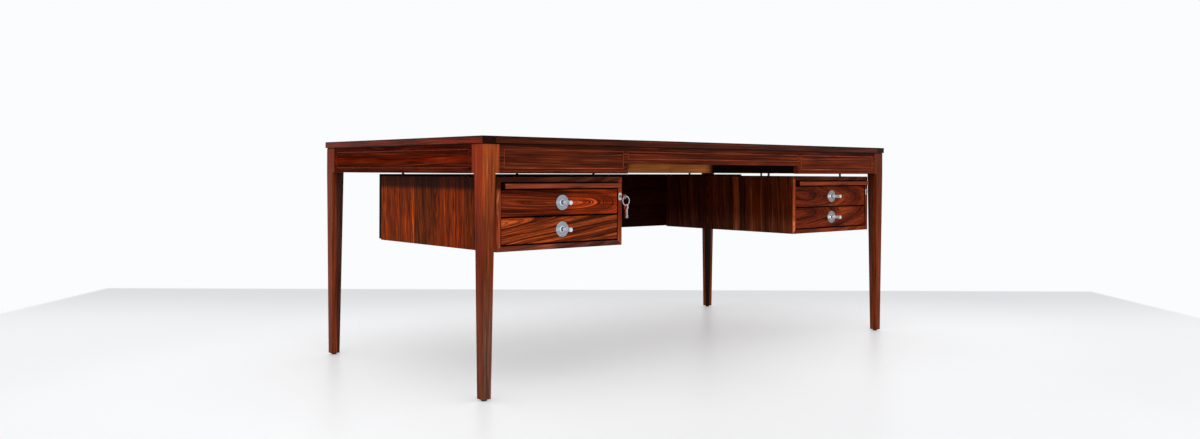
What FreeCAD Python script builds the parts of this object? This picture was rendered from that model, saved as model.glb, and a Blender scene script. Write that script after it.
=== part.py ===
"""Executive desk with two hanging drawer cases, writing slides and a modesty panel.

Millimetres. The origin is on the floor under the middle of the desk. +X runs along the desk,
-Y is the side where the user sits and where the drawers open, and +Z is up.
"""
import FreeCAD, Part
import math
import os
from types import SimpleNamespace

import Sketcher

# Driving dimensions of the desk, in millimetres.
SIZES = {
    # Slab: a veneered core between four solid edge strips.
    "desk_length": 1920.0,
    "desk_depth": 950.0,
    "desk_height": 725.0,
    "slab_thickness": 22.0,
    "side_strip_width": 44.0,
    "long_strip_width": 20.0,
    "slab_edge_bevel": 1.0,
    "shadow_gap_height": 2.0,
    "shadow_gap_depth": 5.5,
    # Legs: a square block at the rail, a shoulder, then a taper on all four sides.
    "leg_inset": 4.0,
    "leg_block_width": 55.0,
    "leg_shoulder_width": 42.0,
    "leg_foot_width": 28.0,
    "leg_outer_lean": 5.5,
    "leg_edge_round": 1.5,
    "glide_height": 5.0,
    "glide_radius": 8.0,
    # Rails between the legs, with sunk fields inside raised beads.
    "rail_height": 81.0,
    "rail_thickness": 20.0,
    "rail_setback": 2.5,
    "field_depth": 2.0,
    "field_end_border": 16.0,
    "field_top_border": 12.5,
    "field_bottom_border": 13.5,
    "bead_width": 3.6,
    "bead_height": 3.0,
    "bead_bevel": 1.0,
    "knee_arch_height": 29.5,
    "knee_arch_inset": 1.5,
    "tenon_thickness": 8.0,
    "tenon_length": 24.0,
    "tenon_shoulder": 12.0,
    "joint_clearance": 0.1,
    # Bearers across the desk, their screws into the slab, and the pins that the cases hang on.
    "bearer_width": 22.0,
    "bearer_lift": 2.0,
    "screw_spacing": 500.0,
    "screw_radius": 2.2,
    "screw_head_radius": 4.4,
    "screw_head_height": 3.0,
    "screw_counterbore_radius": 5.5,
    "screw_bite": 12.0,
    "screw_length": 44.0,
    "hanger_inset": 10.5,
    "hanger_spacing": 408.0,
    "hanger_radius": 4.0,
    "hanger_bite": 30.0,
    "hanger_case_bite": 44.0,
    # Drawer cases.
    "case_end_gap": 68.0,
    "case_width": 470.0,
    "case_height": 209.0,
    "case_depth": 652.0,
    "case_setback": 24.5,
    "case_gap": 12.4,
    "case_wall": 16.0,
    "case_front_bevel": 2.0,
    "back_panel_thickness": 13.0,
    "back_panel_lift": 3.5,
    "back_panel_rise": 6.0,
    # Writing slides and the strips they rest on.
    "slide_thickness": 16.0,
    "slide_headroom": 1.5,
    "slide_side_clearance": 1.0,
    "slide_proud": 18.0,
    "slide_depth": 460.0,
    "slide_edge_round": 1.0,
    "slide_rail_width": 12.0,
    "slide_rail_height": 13.0,
    "slide_rail_setback": 22.0,
    # Drawers.
    "front_height": 76.5,
    "front_gap": 2.0,
    "front_side_clearance": 1.0,
    "front_thickness": 18.0,
    "front_setback": 2.0,
    "front_edge_bevel": 0.8,
    "box_rise": 3.5,
    "box_height": 58.0,
    "box_depth": 580.0,
    "box_side_thickness": 11.0,
    "box_back_thickness": 10.0,
    "box_back_inset": 12.0,
    "box_back_drop": 4.0,
    "bottom_thickness": 5.0,
    "bottom_lift": 6.0,
    "bottom_groove_depth": 5.0,
    "tail_length": 12.0,
    "tail_end_width": 14.0,
    "tail_root_width": 10.0,
    "runner_height": 12.0,
    "runner_groove_depth": 6.0,
    "runner_end_clearance": 0.5,
    "runner_back_gap": 20.0,
    "groove_front_setback": 20.0,
    "running_clearance": 0.3,
    # Pulls: a dished plate with a trumpet stem.
    "pull_plate_radius": 22.5,
    "pull_plate_thickness": 2.4,
    "pull_rim_width": 2.2,
    "pull_rim_height": 0.8,
    "pull_dish_depth": 0.5,
    "pull_collar_radius": 8.0,
    "pull_neck_radius": 4.0,
    "pull_neck_start": 5.0,
    "pull_end_radius": 7.4,
    "pull_end_lip": 2.0,
    "pull_end_dome": 0.8,
    "pull_length": 43.0,
    "pull_stud_radius": 2.4,
    "pull_stud_length": 14.0,
    # Locks, key, ring and spare keys.
    "lock_height": 149.0,
    "escutcheon_width": 14.0,
    "escutcheon_height": 24.0,
    "escutcheon_thickness": 2.0,
    "escutcheon_edge_bevel": 0.8,
    "plug_radius": 4.6,
    "plug_length": 24.0,
    "plug_recess": 0.4,
    "keyway_clearance": 0.2,
    "key_thickness": 2.0,
    "key_blade_height": 6.4,
    "key_blade_length": 19.0,
    "key_neck_length": 6.0,
    "key_neck_height": 8.0,
    "key_bow_radius": 8.0,
    "key_bow_stretch": 5.0,
    "key_hole_radius": 3.4,
    "key_hole_rim": 3.4,
    "spare_bow_radius": 7.6,
    "spare_bow_stretch": 3.0,
    "spare_hole_radius": 2.8,
    "spare_hole_rim": 2.6,
    "spare_neck_length": 4.0,
    "spare_neck_height": 6.8,
    "spare_blade_height": 5.4,
    "spare_blade_length": 22.0,
    "spare_thickness": 1.8,
    "spare_gap": 0.5,
    "ring_radius": 14.2,
    "ring_width": 2.0,
    "ring_thickness": 2.0,
    "hang_clearance": 0.5,
    # How far a cutter runs past the face that it opens.
    "cut_overrun": 1.0,
}

# Shares and angles that no length sets.
TAIL_CENTRE_SHARES = (1 / 6, 1 / 2, 5 / 6)
PULL_FLARE_SHARES = ((0.40, 0.10), (0.76, 0.46))
KEY_NOTCH_SHARES = ((0.30, 0.22), (0.52, 0.34), (0.74, 0.18))
KEY_NOTCH_HALF_WIDTH_SHARE = 0.055
KEY_TIP_SHARE = 0.12
RING_LEAN_DEGREES = 27.0
SPARE_KEY_LEANS_DEGREES = (0.0, 7.0)
QUARTER_TURN_DEGREES = 90.0
FULL_TURN_DEGREES = 360.0

doc = FreeCAD.newDocument("executive_desk")
sheet = doc.addObject("Spreadsheet::Sheet", "sizes")


class Length:
    """A length in millimetres together with the sheet formula that it is worked out by."""

    def __init__(self, value, formula):
        self.value = value
        self.formula = formula

    def __add__(self, other):
        return Length(self.value + amount(other), f"({self.formula} + {text(other)})")

    def __sub__(self, other):
        return Length(self.value - amount(other), f"({self.formula} - {text(other)})")

    def __mul__(self, other):
        return Length(self.value * amount(other), f"({self.formula} * {text(other)})")

    def __truediv__(self, other):
        return Length(self.value / amount(other), f"({self.formula} / {text(other)})")

    def __neg__(self):
        return self * -1

    __rmul__ = __mul__


def amount(number):
    return number.value if isinstance(number, Length) else number


def text(number):
    return number.formula if isinstance(number, Length) else f"({number!r})"


def fill_sheet():
    """Write each driving dimension in the sheet and return them all as bound lengths."""
    for row, (alias, number) in enumerate(SIZES.items(), start=1):
        sheet.set(f"A{row}", alias)
        sheet.set(f"B{row}", str(number))
        sheet.setAlias(f"B{row}", alias)
    doc.recompute()
    return SimpleNamespace(**{alias: Length(number, f"sizes.{alias}") for alias, number in SIZES.items()})


s = fill_sheet()
NOTHING = Length(0.0, "0")
nodes = {}


# Helpers that bind a feature's sizes and place to the sheet

def bind(target, **lengths):
    for name, length in lengths.items():
        target.setExpression(name, length.formula)


def place(target, x, y, z, axis=(0, 0, 1), degrees=0.0):
    """Turn a feature about an axis through its own origin, then bind where that origin goes."""
    rotation = FreeCAD.Rotation(FreeCAD.Vector(*axis), degrees)
    target.Placement = FreeCAD.Placement(FreeCAD.Vector(), rotation)
    for name, length in (("x", x), ("y", y), ("z", z)):
        target.setExpression(f"Placement.Base.{name}", length.formula)


def ordered(first, second):
    """The two ends of a span, lowest first."""
    return (first, second) if first.value < second.value else (second, first)


def around(middle, width):
    return middle - width / 2, middle + width / 2


def new_body(label):
    body = doc.addObject("PartDesign::Body", label)
    body.Label = label
    return body


def block(body, name, x, y, z, cut=False):
    """A box between three pairs of limits, added to the body or cut from it."""
    kind = "PartDesign::SubtractiveBox" if cut else "PartDesign::AdditiveBox"
    feature = body.newObject(kind, name)
    (x0, x1), (y0, y1), (z0, z1) = ordered(*x), ordered(*y), ordered(*z)
    bind(feature, Length=x1 - x0, Width=y1 - y0, Height=z1 - z0)
    place(feature, x0, y0, z0)
    return feature


def taper(body, name, axis, ends, first_u, first_v, last_u, last_v, cut=False):
    """A four-sided frustum along one axis, from one cross-section to another.

    u and v are the limits of the cross-section in the order X, Y, Z without the axis.
    """
    kind = "PartDesign::SubtractiveWedge" if cut else "PartDesign::AdditiveWedge"
    feature = body.newObject(kind, name)
    limits = [ordered(*pair) for pair in (first_u, first_v, last_u, last_v)]
    if axis == "z":
        turn = ((1, 0, 0), QUARTER_TURN_DEGREES)
        limits = [limits[0], mirrored(limits[1]), limits[2], mirrored(limits[3])]
    elif axis == "x":
        turn = ((0, 0, 1), -QUARTER_TURN_DEGREES)
        limits = [mirrored(limits[0]), limits[1], mirrored(limits[2]), limits[3]]
    else:
        turn = ((0, 0, 1), 0.0)
    (u0, u1), (v0, v1), (w0, w1), (t0, t1) = limits
    bind(feature, Ymin=ends[0], Ymax=ends[1], Xmin=u0, Xmax=u1, Zmin=v0, Zmax=v1)
    bind(feature, X2min=w0, X2max=w1, Z2min=t0, Z2max=t1)
    place(feature, NOTHING, NOTHING, NOTHING, *turn)
    return feature


def mirrored(limits):
    low, high = limits
    return -high, -low


def drum(body, name, radius, length, x, y, z, axis="z", cut=False):
    """A cylinder that starts at a point and runs along +X, +Y or +Z."""
    kind = "PartDesign::SubtractiveCylinder" if cut else "PartDesign::AdditiveCylinder"
    feature = body.newObject(kind, name)
    turns = {"x": ((0, 1, 0), QUARTER_TURN_DEGREES), "y": ((1, 0, 0), -QUARTER_TURN_DEGREES),
             "z": ((0, 0, 1), 0.0)}
    bind(feature, Radius=radius, Height=length)
    place(feature, x, y, z, *turns[axis])
    return feature


def soften(body, name, size, chosen, rounded=True):
    """Round or bevel the edges of the body whose middle passes the test."""
    doc.recompute()
    base = body.Tip
    edges = [f"Edge{i}" for i, edge in enumerate(base.Shape.Edges, start=1) if chosen(edge)]
    feature = body.newObject("PartDesign::Fillet" if rounded else "PartDesign::Chamfer", name)
    feature.Base = (base, edges)
    bind(feature, **{"Radius" if rounded else "Size": size})
    return feature


def near(value, length):
    return abs(value - amount(length)) < 1e-4


def keep(label, shape_object):
    """Count an object of the document as a piece of the desk, under its label."""
    shape_object.Label = label
    nodes[label] = shape_object
    return shape_object


def keep_group(label, members):
    group = doc.addObject("Part::Compound", label)
    group.Links = members
    return keep(label, group)


def outline(body, name, plane, points):
    """A closed sketch of straight sides through bound points."""
    planes = {feature.Role: feature for feature in body.Origin.OriginFeatures}
    sketch = body.newObject("Sketcher::SketchObject", name)
    sketch.AttachmentSupport = (planes[plane], [""])
    sketch.MapMode = "FlatFace"
    for side, (u, v) in enumerate(points):
        next_u, next_v = points[(side + 1) % len(points)]
        start = FreeCAD.Vector(u.value, v.value, 0)
        sketch.addGeometry(Part.LineSegment(start, FreeCAD.Vector(next_u.value, next_v.value, 0)))
    for side in range(len(points)):
        sketch.addConstraint(Sketcher.Constraint("Coincident", side, 2, (side + 1) % len(points), 1))
    for side, (u, v) in enumerate(points):
        for kind, length in (("DistanceX", u), ("DistanceY", v)):
            number = sketch.addConstraint(Sketcher.Constraint(kind, -1, 1, side, 1, length.value))
            sketch.renameConstraint(number, f"{kind}{side}")
            sketch.setExpression(f"Constraints.{kind}{side}", length.formula)
    return sketch


# Levels and planes that many pieces share

half_length = s.desk_length / 2
half_depth = s.desk_depth / 2
slab_bottom = s.desk_height - s.slab_thickness
rail_bottom = slab_bottom - s.rail_height
leg_face_x = half_length - s.leg_inset
leg_face_y = half_depth - s.leg_inset
rail_end_x = leg_face_x - s.leg_block_width
rail_end_y = leg_face_y - s.leg_block_width
rail_face_x = leg_face_x - s.rail_setback
rail_face_y = leg_face_y - s.rail_setback
rail_inner_x = rail_face_x - s.rail_thickness
rail_inner_y = rail_face_y - s.rail_thickness
case_offset = half_length - s.case_end_gap - s.case_width / 2
bearer_reach = s.case_width / 2 - s.hanger_inset
knee_half_width = case_offset - bearer_reach - s.bearer_width / 2 - s.knee_arch_inset

bearer_bottom = rail_bottom + s.bearer_lift
case_top = bearer_bottom - s.case_gap
case_bottom = case_top - s.case_height
case_front = -(rail_face_y - s.case_setback)
case_back = case_front + s.case_depth
case_inner_half = s.case_width / 2 - s.case_wall
slide_top = case_top - s.case_wall - s.slide_headroom
slide_bottom = slide_top - s.slide_thickness
front_face = case_front + s.front_setback
front_back = front_face + s.front_thickness
lower_front_bottom = case_bottom + s.case_wall + s.front_gap
upper_front_bottom = lower_front_bottom + s.front_height + s.front_gap
lock_level = case_bottom + s.lock_height


# Slab

def make_slab():
    """The core, a strip across each end and a strip along each long edge between them."""
    level = (slab_bottom, s.desk_height)
    core_x = half_length - s.side_strip_width
    core_y = half_depth - s.long_strip_width
    core = new_body("top_panel")
    block(core, "core_board", (-core_x, core_x), (-core_y, core_y), level)
    for label, x, screwed in bearer_places():
        for y in around(NOTHING, s.screw_spacing) if screwed else ():
            drum(core, "screw_pilot", s.screw_radius, s.screw_bite, x, y, slab_bottom, cut=True)
    keep("top_panel", core)
    gap_level = (slab_bottom - s.cut_overrun, slab_bottom + s.shadow_gap_height)
    for name, hand in (("left", -1), ("right", 1)):
        strip = new_body(f"top_lipping_{name}")
        outer = hand * half_length
        block(strip, "strip", (outer, hand * core_x), (-half_depth, half_depth), level)
        block(strip, "side_gap", (outer + hand * s.cut_overrun, outer - hand * s.shadow_gap_depth),
              (-half_depth - s.cut_overrun, half_depth + s.cut_overrun), gap_level, cut=True)
        for end in (-1, 1):
            block(strip, "end_gap", (outer + hand * s.cut_overrun, hand * core_x - hand * s.cut_overrun),
                  (end * half_depth + end * s.cut_overrun, end * half_depth - end * s.shadow_gap_depth),
                  gap_level, cut=True)
        soften(strip, "outer_edges", s.slab_edge_bevel,
               lambda edge: on_slab_edge(edge, hand * half_length), False)
        keep(f"top_lipping_{name}", strip)
    for name, hand in (("front", -1), ("back", 1)):
        strip = new_body(f"top_lipping_{name}")
        outer = hand * half_depth
        block(strip, "strip", (-core_x, core_x), (outer, hand * core_y), level)
        block(strip, "long_gap", (-core_x - s.cut_overrun, core_x + s.cut_overrun),
              (outer + hand * s.cut_overrun, outer - hand * s.shadow_gap_depth), gap_level, cut=True)
        soften(strip, "outer_edge", s.slab_edge_bevel,
               lambda edge: near(edge.CenterOfMass.y, hand * half_depth) and edge.Length > core_x.value,
               False)
        keep(f"top_lipping_{name}", strip)


def on_slab_edge(edge, outer_x):
    """The long outer edges, the short front and back edges and the upright corners of an end strip."""
    middle = edge.CenterOfMass
    low_gap = (slab_bottom + s.shadow_gap_height).value
    return (near(middle.x, outer_x) or near(abs(middle.y), half_depth)) and \
        middle.z > low_gap - 1e-4 and not near(abs(middle.x), half_length - s.side_strip_width)


# Legs

def make_leg(label, hand_x, hand_y):
    """A square head with mortises for two rails, and under its shoulder a shaft tapered on four sides."""
    head = new_body(f"{label}_head")
    outer_x, outer_y = hand_x * leg_face_x, hand_y * leg_face_y
    block(head, "head", (outer_x, outer_x - hand_x * s.leg_block_width),
          (outer_y, outer_y - hand_y * s.leg_block_width), (rail_bottom, slab_bottom))
    soften(head, "upright_edges", s.leg_edge_round, is_upright)
    mortise_level = (rail_bottom + s.tenon_shoulder - s.joint_clearance,
                     slab_bottom - s.tenon_shoulder + s.joint_clearance)
    mortise_width = s.tenon_thickness + s.joint_clearance * 2
    mortise_depth = s.tenon_length + s.joint_clearance
    long_rail_middle = hand_y * (rail_face_y - s.rail_thickness / 2)
    end_rail_middle = hand_x * (rail_face_x - s.rail_thickness / 2)
    block(head, "long_mortise",
          (hand_x * (rail_end_x - s.cut_overrun), hand_x * (rail_end_x + mortise_depth)),
          around(long_rail_middle, mortise_width), mortise_level, cut=True)
    block(head, "end_mortise", around(end_rail_middle, mortise_width),
          (hand_y * (rail_end_y - s.cut_overrun), hand_y * (rail_end_y + mortise_depth)),
          mortise_level, cut=True)
    shaft = new_body(f"{label}_shaft")
    foot_x = outer_x - hand_x * s.leg_outer_lean
    foot_y = outer_y - hand_y * s.leg_outer_lean
    foot = [(foot_x, foot_x - hand_x * s.leg_foot_width), (foot_y, foot_y - hand_y * s.leg_foot_width)]
    shoulder = [(outer_x, outer_x - hand_x * s.leg_shoulder_width),
                (outer_y, outer_y - hand_y * s.leg_shoulder_width)]
    taper(shaft, "shaft", "z", (s.glide_height, rail_bottom), *foot, *shoulder)
    soften(shaft, "upright_edges", s.leg_edge_round, is_upright)
    leg = doc.addObject("Part::Fuse", label)
    leg.Base = head
    leg.Tool = shaft
    keep(label, leg)


def foot_centre(hand, face):
    return hand * (face - s.leg_outer_lean - s.leg_foot_width / 2)


def is_upright(edge):
    box = edge.BoundBox
    return box.ZLength > box.XLength + box.YLength


def make_glides():
    glides = []
    for hand_x in (-1, 1):
        for hand_y in (-1, 1):
            glide = new_body("glide")
            x, y = foot_centre(hand_x, leg_face_x), foot_centre(hand_y, leg_face_y)
            drum(glide, "pad", s.glide_radius, s.glide_height, x, y, NOTHING)
            glides.append(glide)
    keep_group("floor_glides", glides)


# Rails

field_top = slab_bottom - s.field_top_border
field_bottom = rail_bottom + s.field_bottom_border


def tenon_places(rail_end):
    """The limits along the rail and in height of the tenon on each of its ends."""
    level = (rail_bottom + s.tenon_shoulder, slab_bottom - s.tenon_shoulder)
    for end in (-1, 1):
        yield (end * rail_end, end * (rail_end + s.tenon_length)), level


def make_long_rail(label, hand, arched):
    """The rail along the front or back, with three fields and, in front, an arch for the knees."""
    rail = new_body(label)
    face, inner = hand * rail_face_y, hand * rail_inner_y
    block(rail, "board", (-rail_end_x, rail_end_x), (face, inner), (rail_bottom, slab_bottom))
    middle_y = hand * (rail_face_y - s.rail_thickness / 2)
    for reach, level in tenon_places(rail_end_x):
        block(rail, "tenon", reach, around(middle_y, s.tenon_thickness), level)
    if arched:
        block(rail, "knee_arch", (-knee_half_width, knee_half_width),
              (face + hand * s.cut_overrun, inner - hand * s.cut_overrun),
              (rail_bottom - s.cut_overrun, rail_bottom + s.knee_arch_height), cut=True)
    floor = face - hand * s.field_depth
    beads = []
    for x, z in long_rail_fields(arched):
        block(rail, "field", x, (face + hand * s.cut_overrun, floor), z, cut=True)
        beads.append(make_bead(x, (floor, floor + hand * s.bead_height), z, "y"))
    keep(label, rail)
    return beads


def long_rail_fields(arched):
    """The limits in X and Z of the three sunk fields of a long rail."""
    inner_end = knee_half_width + s.field_end_border
    outer_end = rail_end_x - s.field_end_border
    middle_bottom = field_bottom + s.knee_arch_height if arched else field_bottom
    yield (-outer_end, -inner_end), (field_bottom, field_top)
    yield (-knee_half_width, knee_half_width), (middle_bottom, field_top)
    yield (inner_end, outer_end), (field_bottom, field_top)


def make_end_rail(label, hand):
    """The rail across one end, with one field."""
    rail = new_body(label)
    face, inner = hand * rail_face_x, hand * rail_inner_x
    block(rail, "board", (face, inner), (-rail_end_y, rail_end_y), (rail_bottom, slab_bottom))
    middle_x = hand * (rail_face_x - s.rail_thickness / 2)
    for reach, level in tenon_places(rail_end_y):
        block(rail, "tenon", around(middle_x, s.tenon_thickness), reach, level)
    floor = face - hand * s.field_depth
    y = (-rail_end_y + s.field_end_border, rail_end_y - s.field_end_border)
    z = (field_bottom, field_top)
    block(rail, "field", (face + hand * s.cut_overrun, floor), y, z, cut=True)
    keep(label, rail)
    return make_bead(y, (floor, floor + hand * s.bead_height), z, "x")


def make_bead(run, rise, z, facing):
    """A bevelled moulding that frames one field, standing on the field's floor."""
    bead = new_body("bead")
    inner_run = (run[0] + s.bead_width, run[1] - s.bead_width)
    inner_z = (z[0] + s.bead_width, z[1] - s.bead_width)
    floor, crest = rise
    hand = 1 if crest.value > floor.value else -1
    through = (floor - hand * s.cut_overrun, crest + hand * s.cut_overrun)
    if facing == "y":
        block(bead, "frame", run, rise, z)
        block(bead, "window", inner_run, through, inner_z, cut=True)
    else:
        block(bead, "frame", rise, run, z)
        block(bead, "window", through, inner_run, inner_z, cut=True)
    soften(bead, "crest", s.bead_bevel, lambda edge: near(getattr(edge.CenterOfMass, facing), crest), False)
    return bead


# Bearers, screws and hanger pins

def bearer_places():
    """Each bearer's name, its middle in X, and whether the screws of the slab go through it."""
    for side, hand in (("left", -1), ("right", 1)):
        for name, reach in (("outer", 1), ("inner", -1)):
            yield f"bearer_{side}_{name}", hand * (case_offset + reach * bearer_reach), name == "outer"


def hanger_rows():
    middle = (case_front + case_back) / 2
    return around(middle, s.hanger_spacing)


def make_bearers():
    screws = []
    pins = []
    head_level = slab_bottom + s.screw_bite - s.screw_length
    for label, x, screwed in bearer_places():
        bearer = new_body(label)
        block(bearer, "board", around(x, s.bearer_width), (-rail_inner_y, rail_inner_y),
              (bearer_bottom, slab_bottom))
        for y in around(NOTHING, s.screw_spacing) if screwed else ():
            drum(bearer, "screw_bore", s.screw_radius + s.joint_clearance, s.rail_height, x, y,
                 bearer_bottom, cut=True)
            drum(bearer, "counterbore", s.screw_counterbore_radius, head_level - bearer_bottom, x, y,
                 bearer_bottom, cut=True)
            screw = new_body("screw")
            drum(screw, "shank", s.screw_radius, s.screw_length, x, y, head_level)
            drum(screw, "head", s.screw_head_radius, s.screw_head_height, x, y,
                 head_level - s.screw_head_height)
            screws.append(screw)
        for y in hanger_rows():
            drum(bearer, "hanger_bore", s.hanger_radius, s.hanger_bite, x, y, bearer_bottom, cut=True)
            pin = new_body("pin")
            drum(pin, "rod", s.hanger_radius, s.hanger_case_bite + s.case_gap + s.hanger_bite, x, y,
                 case_top - s.hanger_case_bite)
            pins.append(pin)
        keep(label, bearer)
    keep_group("top_screws", screws)
    keep_group("hanger_pins", pins)


# Drawer cases

def make_case(side, hand, lock_hand):
    """Four mitred boards; the two upright ones hang on the pins and one of them holds the lock."""
    centre = hand * case_offset
    outer = around(centre, s.case_width)
    inner = around(centre, case_inner_half * 2)
    run = (case_front, case_back)
    wall = s.case_wall
    for name, level in (("top", (case_top - wall, case_top)), ("bottom", (case_bottom, case_bottom + wall))):
        panel = new_body(f"{side}_case_{name}")
        wide, narrow = (inner, outer) if name == "top" else (outer, inner)
        taper(panel, "mitred_board", "z", level, wide, run, narrow, run)
        face = case_top - wall if name == "top" else case_bottom + wall
        if name == "top":
            for x in around(centre, bearer_reach * 2):
                for y in hanger_rows():
                    drum(panel, "hanger_bore", s.hanger_radius, wall, x, y, case_top - wall, cut=True)
        soften(panel, "front_bevel", s.case_front_bevel,
               lambda edge: near(edge.CenterOfMass.y, case_front) and near(edge.CenterOfMass.z, face), False)
        keep(f"{side}_case_{name}", panel)
    for reach in (-1, 1):
        name = "outer_side" if reach == hand else "inner_side"
        panel = new_body(f"{side}_case_{name}")
        tall = (case_bottom, case_top)
        short = (case_bottom + wall, case_top - wall)
        far, close = centre + reach * s.case_width / 2, centre + reach * case_inner_half
        first, last = (tall, short) if reach < 0 else (short, tall)
        taper(panel, "mitred_board", "x", ordered(far, close), run, first, run, last)
        for y in hanger_rows():
            drum(panel, "hanger_bore", s.hanger_radius, s.hanger_case_bite, centre + reach * bearer_reach,
                 y, case_top - s.hanger_case_bite, cut=True)
        soften(panel, "front_bevel", s.case_front_bevel,
               lambda edge: near(edge.CenterOfMass.y, case_front) and near(edge.CenterOfMass.x, close), False)
        if reach == lock_hand:
            drum(panel, "lock_bore", s.plug_radius + s.joint_clearance, s.plug_length, lock_middle(hand),
                 case_front, lock_level, axis="y", cut=True)
        keep(f"{side}_case_{name}", panel)


def make_runners(side, hand):
    """Strips on the case walls: one for each drawer side, which also stops the drawer as it closes,
    and one under each edge of the writing slide.
    """
    centre = hand * case_offset
    strips = []
    run = (front_back + s.groove_front_setback + s.running_clearance, case_back - s.runner_back_gap)
    grip = s.front_side_clearance + s.runner_groove_depth - s.runner_end_clearance
    for reach in (-1, 1):
        wall_x = centre + reach * case_inner_half
        for bottom in (lower_front_bottom, upper_front_bottom):
            strip = new_body("runner")
            block(strip, "strip", (wall_x, wall_x - reach * grip), run,
                  around(bottom + s.box_rise + s.box_height / 2, s.runner_height))
            strips.append(strip)
        strip = new_body("slide_rail")
        top = slide_bottom - s.running_clearance
        block(strip, "strip", (wall_x, wall_x - reach * s.slide_rail_width),
              (case_front + s.slide_rail_setback, case_back - s.runner_back_gap),
              (top - s.slide_rail_height, top))
        strips.append(strip)
    keep_group(f"{side}_case_runners", strips)


def make_back_panel():
    """One long board behind both cases; it closes them and screens the knees."""
    panel = new_body("modesty_panel")
    reach = case_offset + s.case_width / 2
    block(panel, "board", (-reach, reach), (case_back, case_back + s.back_panel_thickness),
          (case_bottom + s.back_panel_lift, case_top + s.back_panel_rise))
    outer_face = case_back + s.back_panel_thickness
    soften(panel, "edges", s.front_edge_bevel, lambda edge: near(edge.CenterOfMass.y, outer_face), False)
    keep("modesty_panel", panel)


def make_writing_slide(side, hand):
    slide = new_body(f"{side}_writing_slide")
    half = case_inner_half - s.slide_side_clearance
    nose = case_front - s.slide_proud
    block(slide, "board", around(hand * case_offset, half * 2), (nose, nose + s.slide_depth),
          (slide_bottom, slide_top))
    soften(slide, "nose_edges", s.slide_edge_round, lambda edge: near(edge.CenterOfMass.y, nose))
    keep(f"{side}_writing_slide", slide)


# Drawers

def make_drawer(prefix, hand, bottom):
    """A dovetailed box behind a front: tails on the sides, sockets in the front.

    The sides have a stopped groove that runs on the case's runner, the bottom lies in grooves,
    and the back stands on the bottom between the sides.
    """
    centre = hand * case_offset
    half = case_inner_half - s.front_side_clearance
    box_bottom = bottom + s.box_rise
    box_top = box_bottom + s.box_height
    box_back = front_back + s.box_depth
    inner_half = half - s.box_side_thickness
    groove_floor_half = inner_half + s.bottom_groove_depth
    bottom_level = (box_bottom + s.bottom_lift, box_bottom + s.bottom_lift + s.bottom_thickness)

    front = new_body(f"{prefix}_front")
    level = (bottom, bottom + s.front_height)
    block(front, "board", around(centre, half * 2), (front_face, front_back), level)
    soften(front, "face_edges", s.front_edge_bevel, lambda edge: near(edge.CenterOfMass.y, front_face), False)
    sides = []
    for reach in (-1, 1):
        end = centre + reach * half
        for share in TAIL_CENTRE_SHARES:
            tail(front, end, reach, box_bottom + s.box_height * share, s.joint_clearance, cut=True)
        sides.append(make_drawer_side(end, reach, box_bottom, box_top, box_back, bottom_level))
    block(front, "bottom_groove", around(centre, inner_half * 2), (front_back - s.bottom_groove_depth,
          front_back + s.cut_overrun), bottom_level, cut=True)
    middle = bottom + s.front_height / 2
    drum(front, "pull_bore", s.pull_stud_radius + s.joint_clearance, s.pull_stud_length + s.joint_clearance,
         centre, front_face, middle, axis="y", cut=True)
    keep(f"{prefix}_front", front)
    keep_group(f"{prefix}_sides", sides)

    back = new_body(f"{prefix}_back")
    back_face = box_back - s.box_back_inset
    block(back, "board", around(centre, inner_half * 2), (back_face - s.box_back_thickness, back_face),
          (bottom_level[1], box_top - s.box_back_drop))
    keep(f"{prefix}_back", back)

    floor = new_body(f"{prefix}_bottom")
    block(floor, "board", around(centre, groove_floor_half * 2 - s.joint_clearance * 2),
          (front_back - s.bottom_groove_depth + s.joint_clearance, back_face), bottom_level)
    for reach in (-1, 1):
        block(floor, "corner_notch", (centre + reach * inner_half, centre + reach * half),
              (front_back, front_back - s.bottom_groove_depth - s.cut_overrun),
              (bottom_level[0] - s.cut_overrun, bottom_level[1] + s.cut_overrun), cut=True)
    keep(f"{prefix}_bottom", floor)
    keep(f"{prefix}_pull", make_pull(f"{prefix}_pull", centre, middle))


def tail(body, end, reach, middle, ease, cut=False):
    """One dovetail: it spreads towards the drawer's face. ease opens a socket around it."""
    overrun = s.cut_overrun if cut else NOTHING
    across = (end + reach * overrun, end - reach * s.box_side_thickness - reach * ease)
    tip = around(middle, s.tail_end_width + ease * 2)
    root = around(middle, s.tail_root_width + ease * 2)
    taper(body, "socket" if cut else "tail", "y", (front_back - s.tail_length - ease, front_back),
          across, tip, across, root, cut)


def make_drawer_side(end, reach, box_bottom, box_top, box_back, bottom_level):
    side = new_body("drawer_side")
    across = (end, end - reach * s.box_side_thickness)
    block(side, "board", across, (front_back, box_back), (box_bottom, box_top))
    for share in TAIL_CENTRE_SHARES:
        tail(side, end, reach, box_bottom + s.box_height * share, NOTHING)
    inner_face = across[1]
    block(side, "bottom_groove",
          (inner_face - reach * s.cut_overrun, inner_face + reach * s.bottom_groove_depth),
          (front_back, box_back - s.box_back_inset), bottom_level, cut=True)
    groove_height = s.runner_height + s.running_clearance * 2
    block(side, "runner_groove", (end + reach * s.cut_overrun, end - reach * s.runner_groove_depth),
          (front_back + s.groove_front_setback, box_back + s.cut_overrun),
          around(box_bottom + s.box_height / 2, groove_height), cut=True)
    return side


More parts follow.
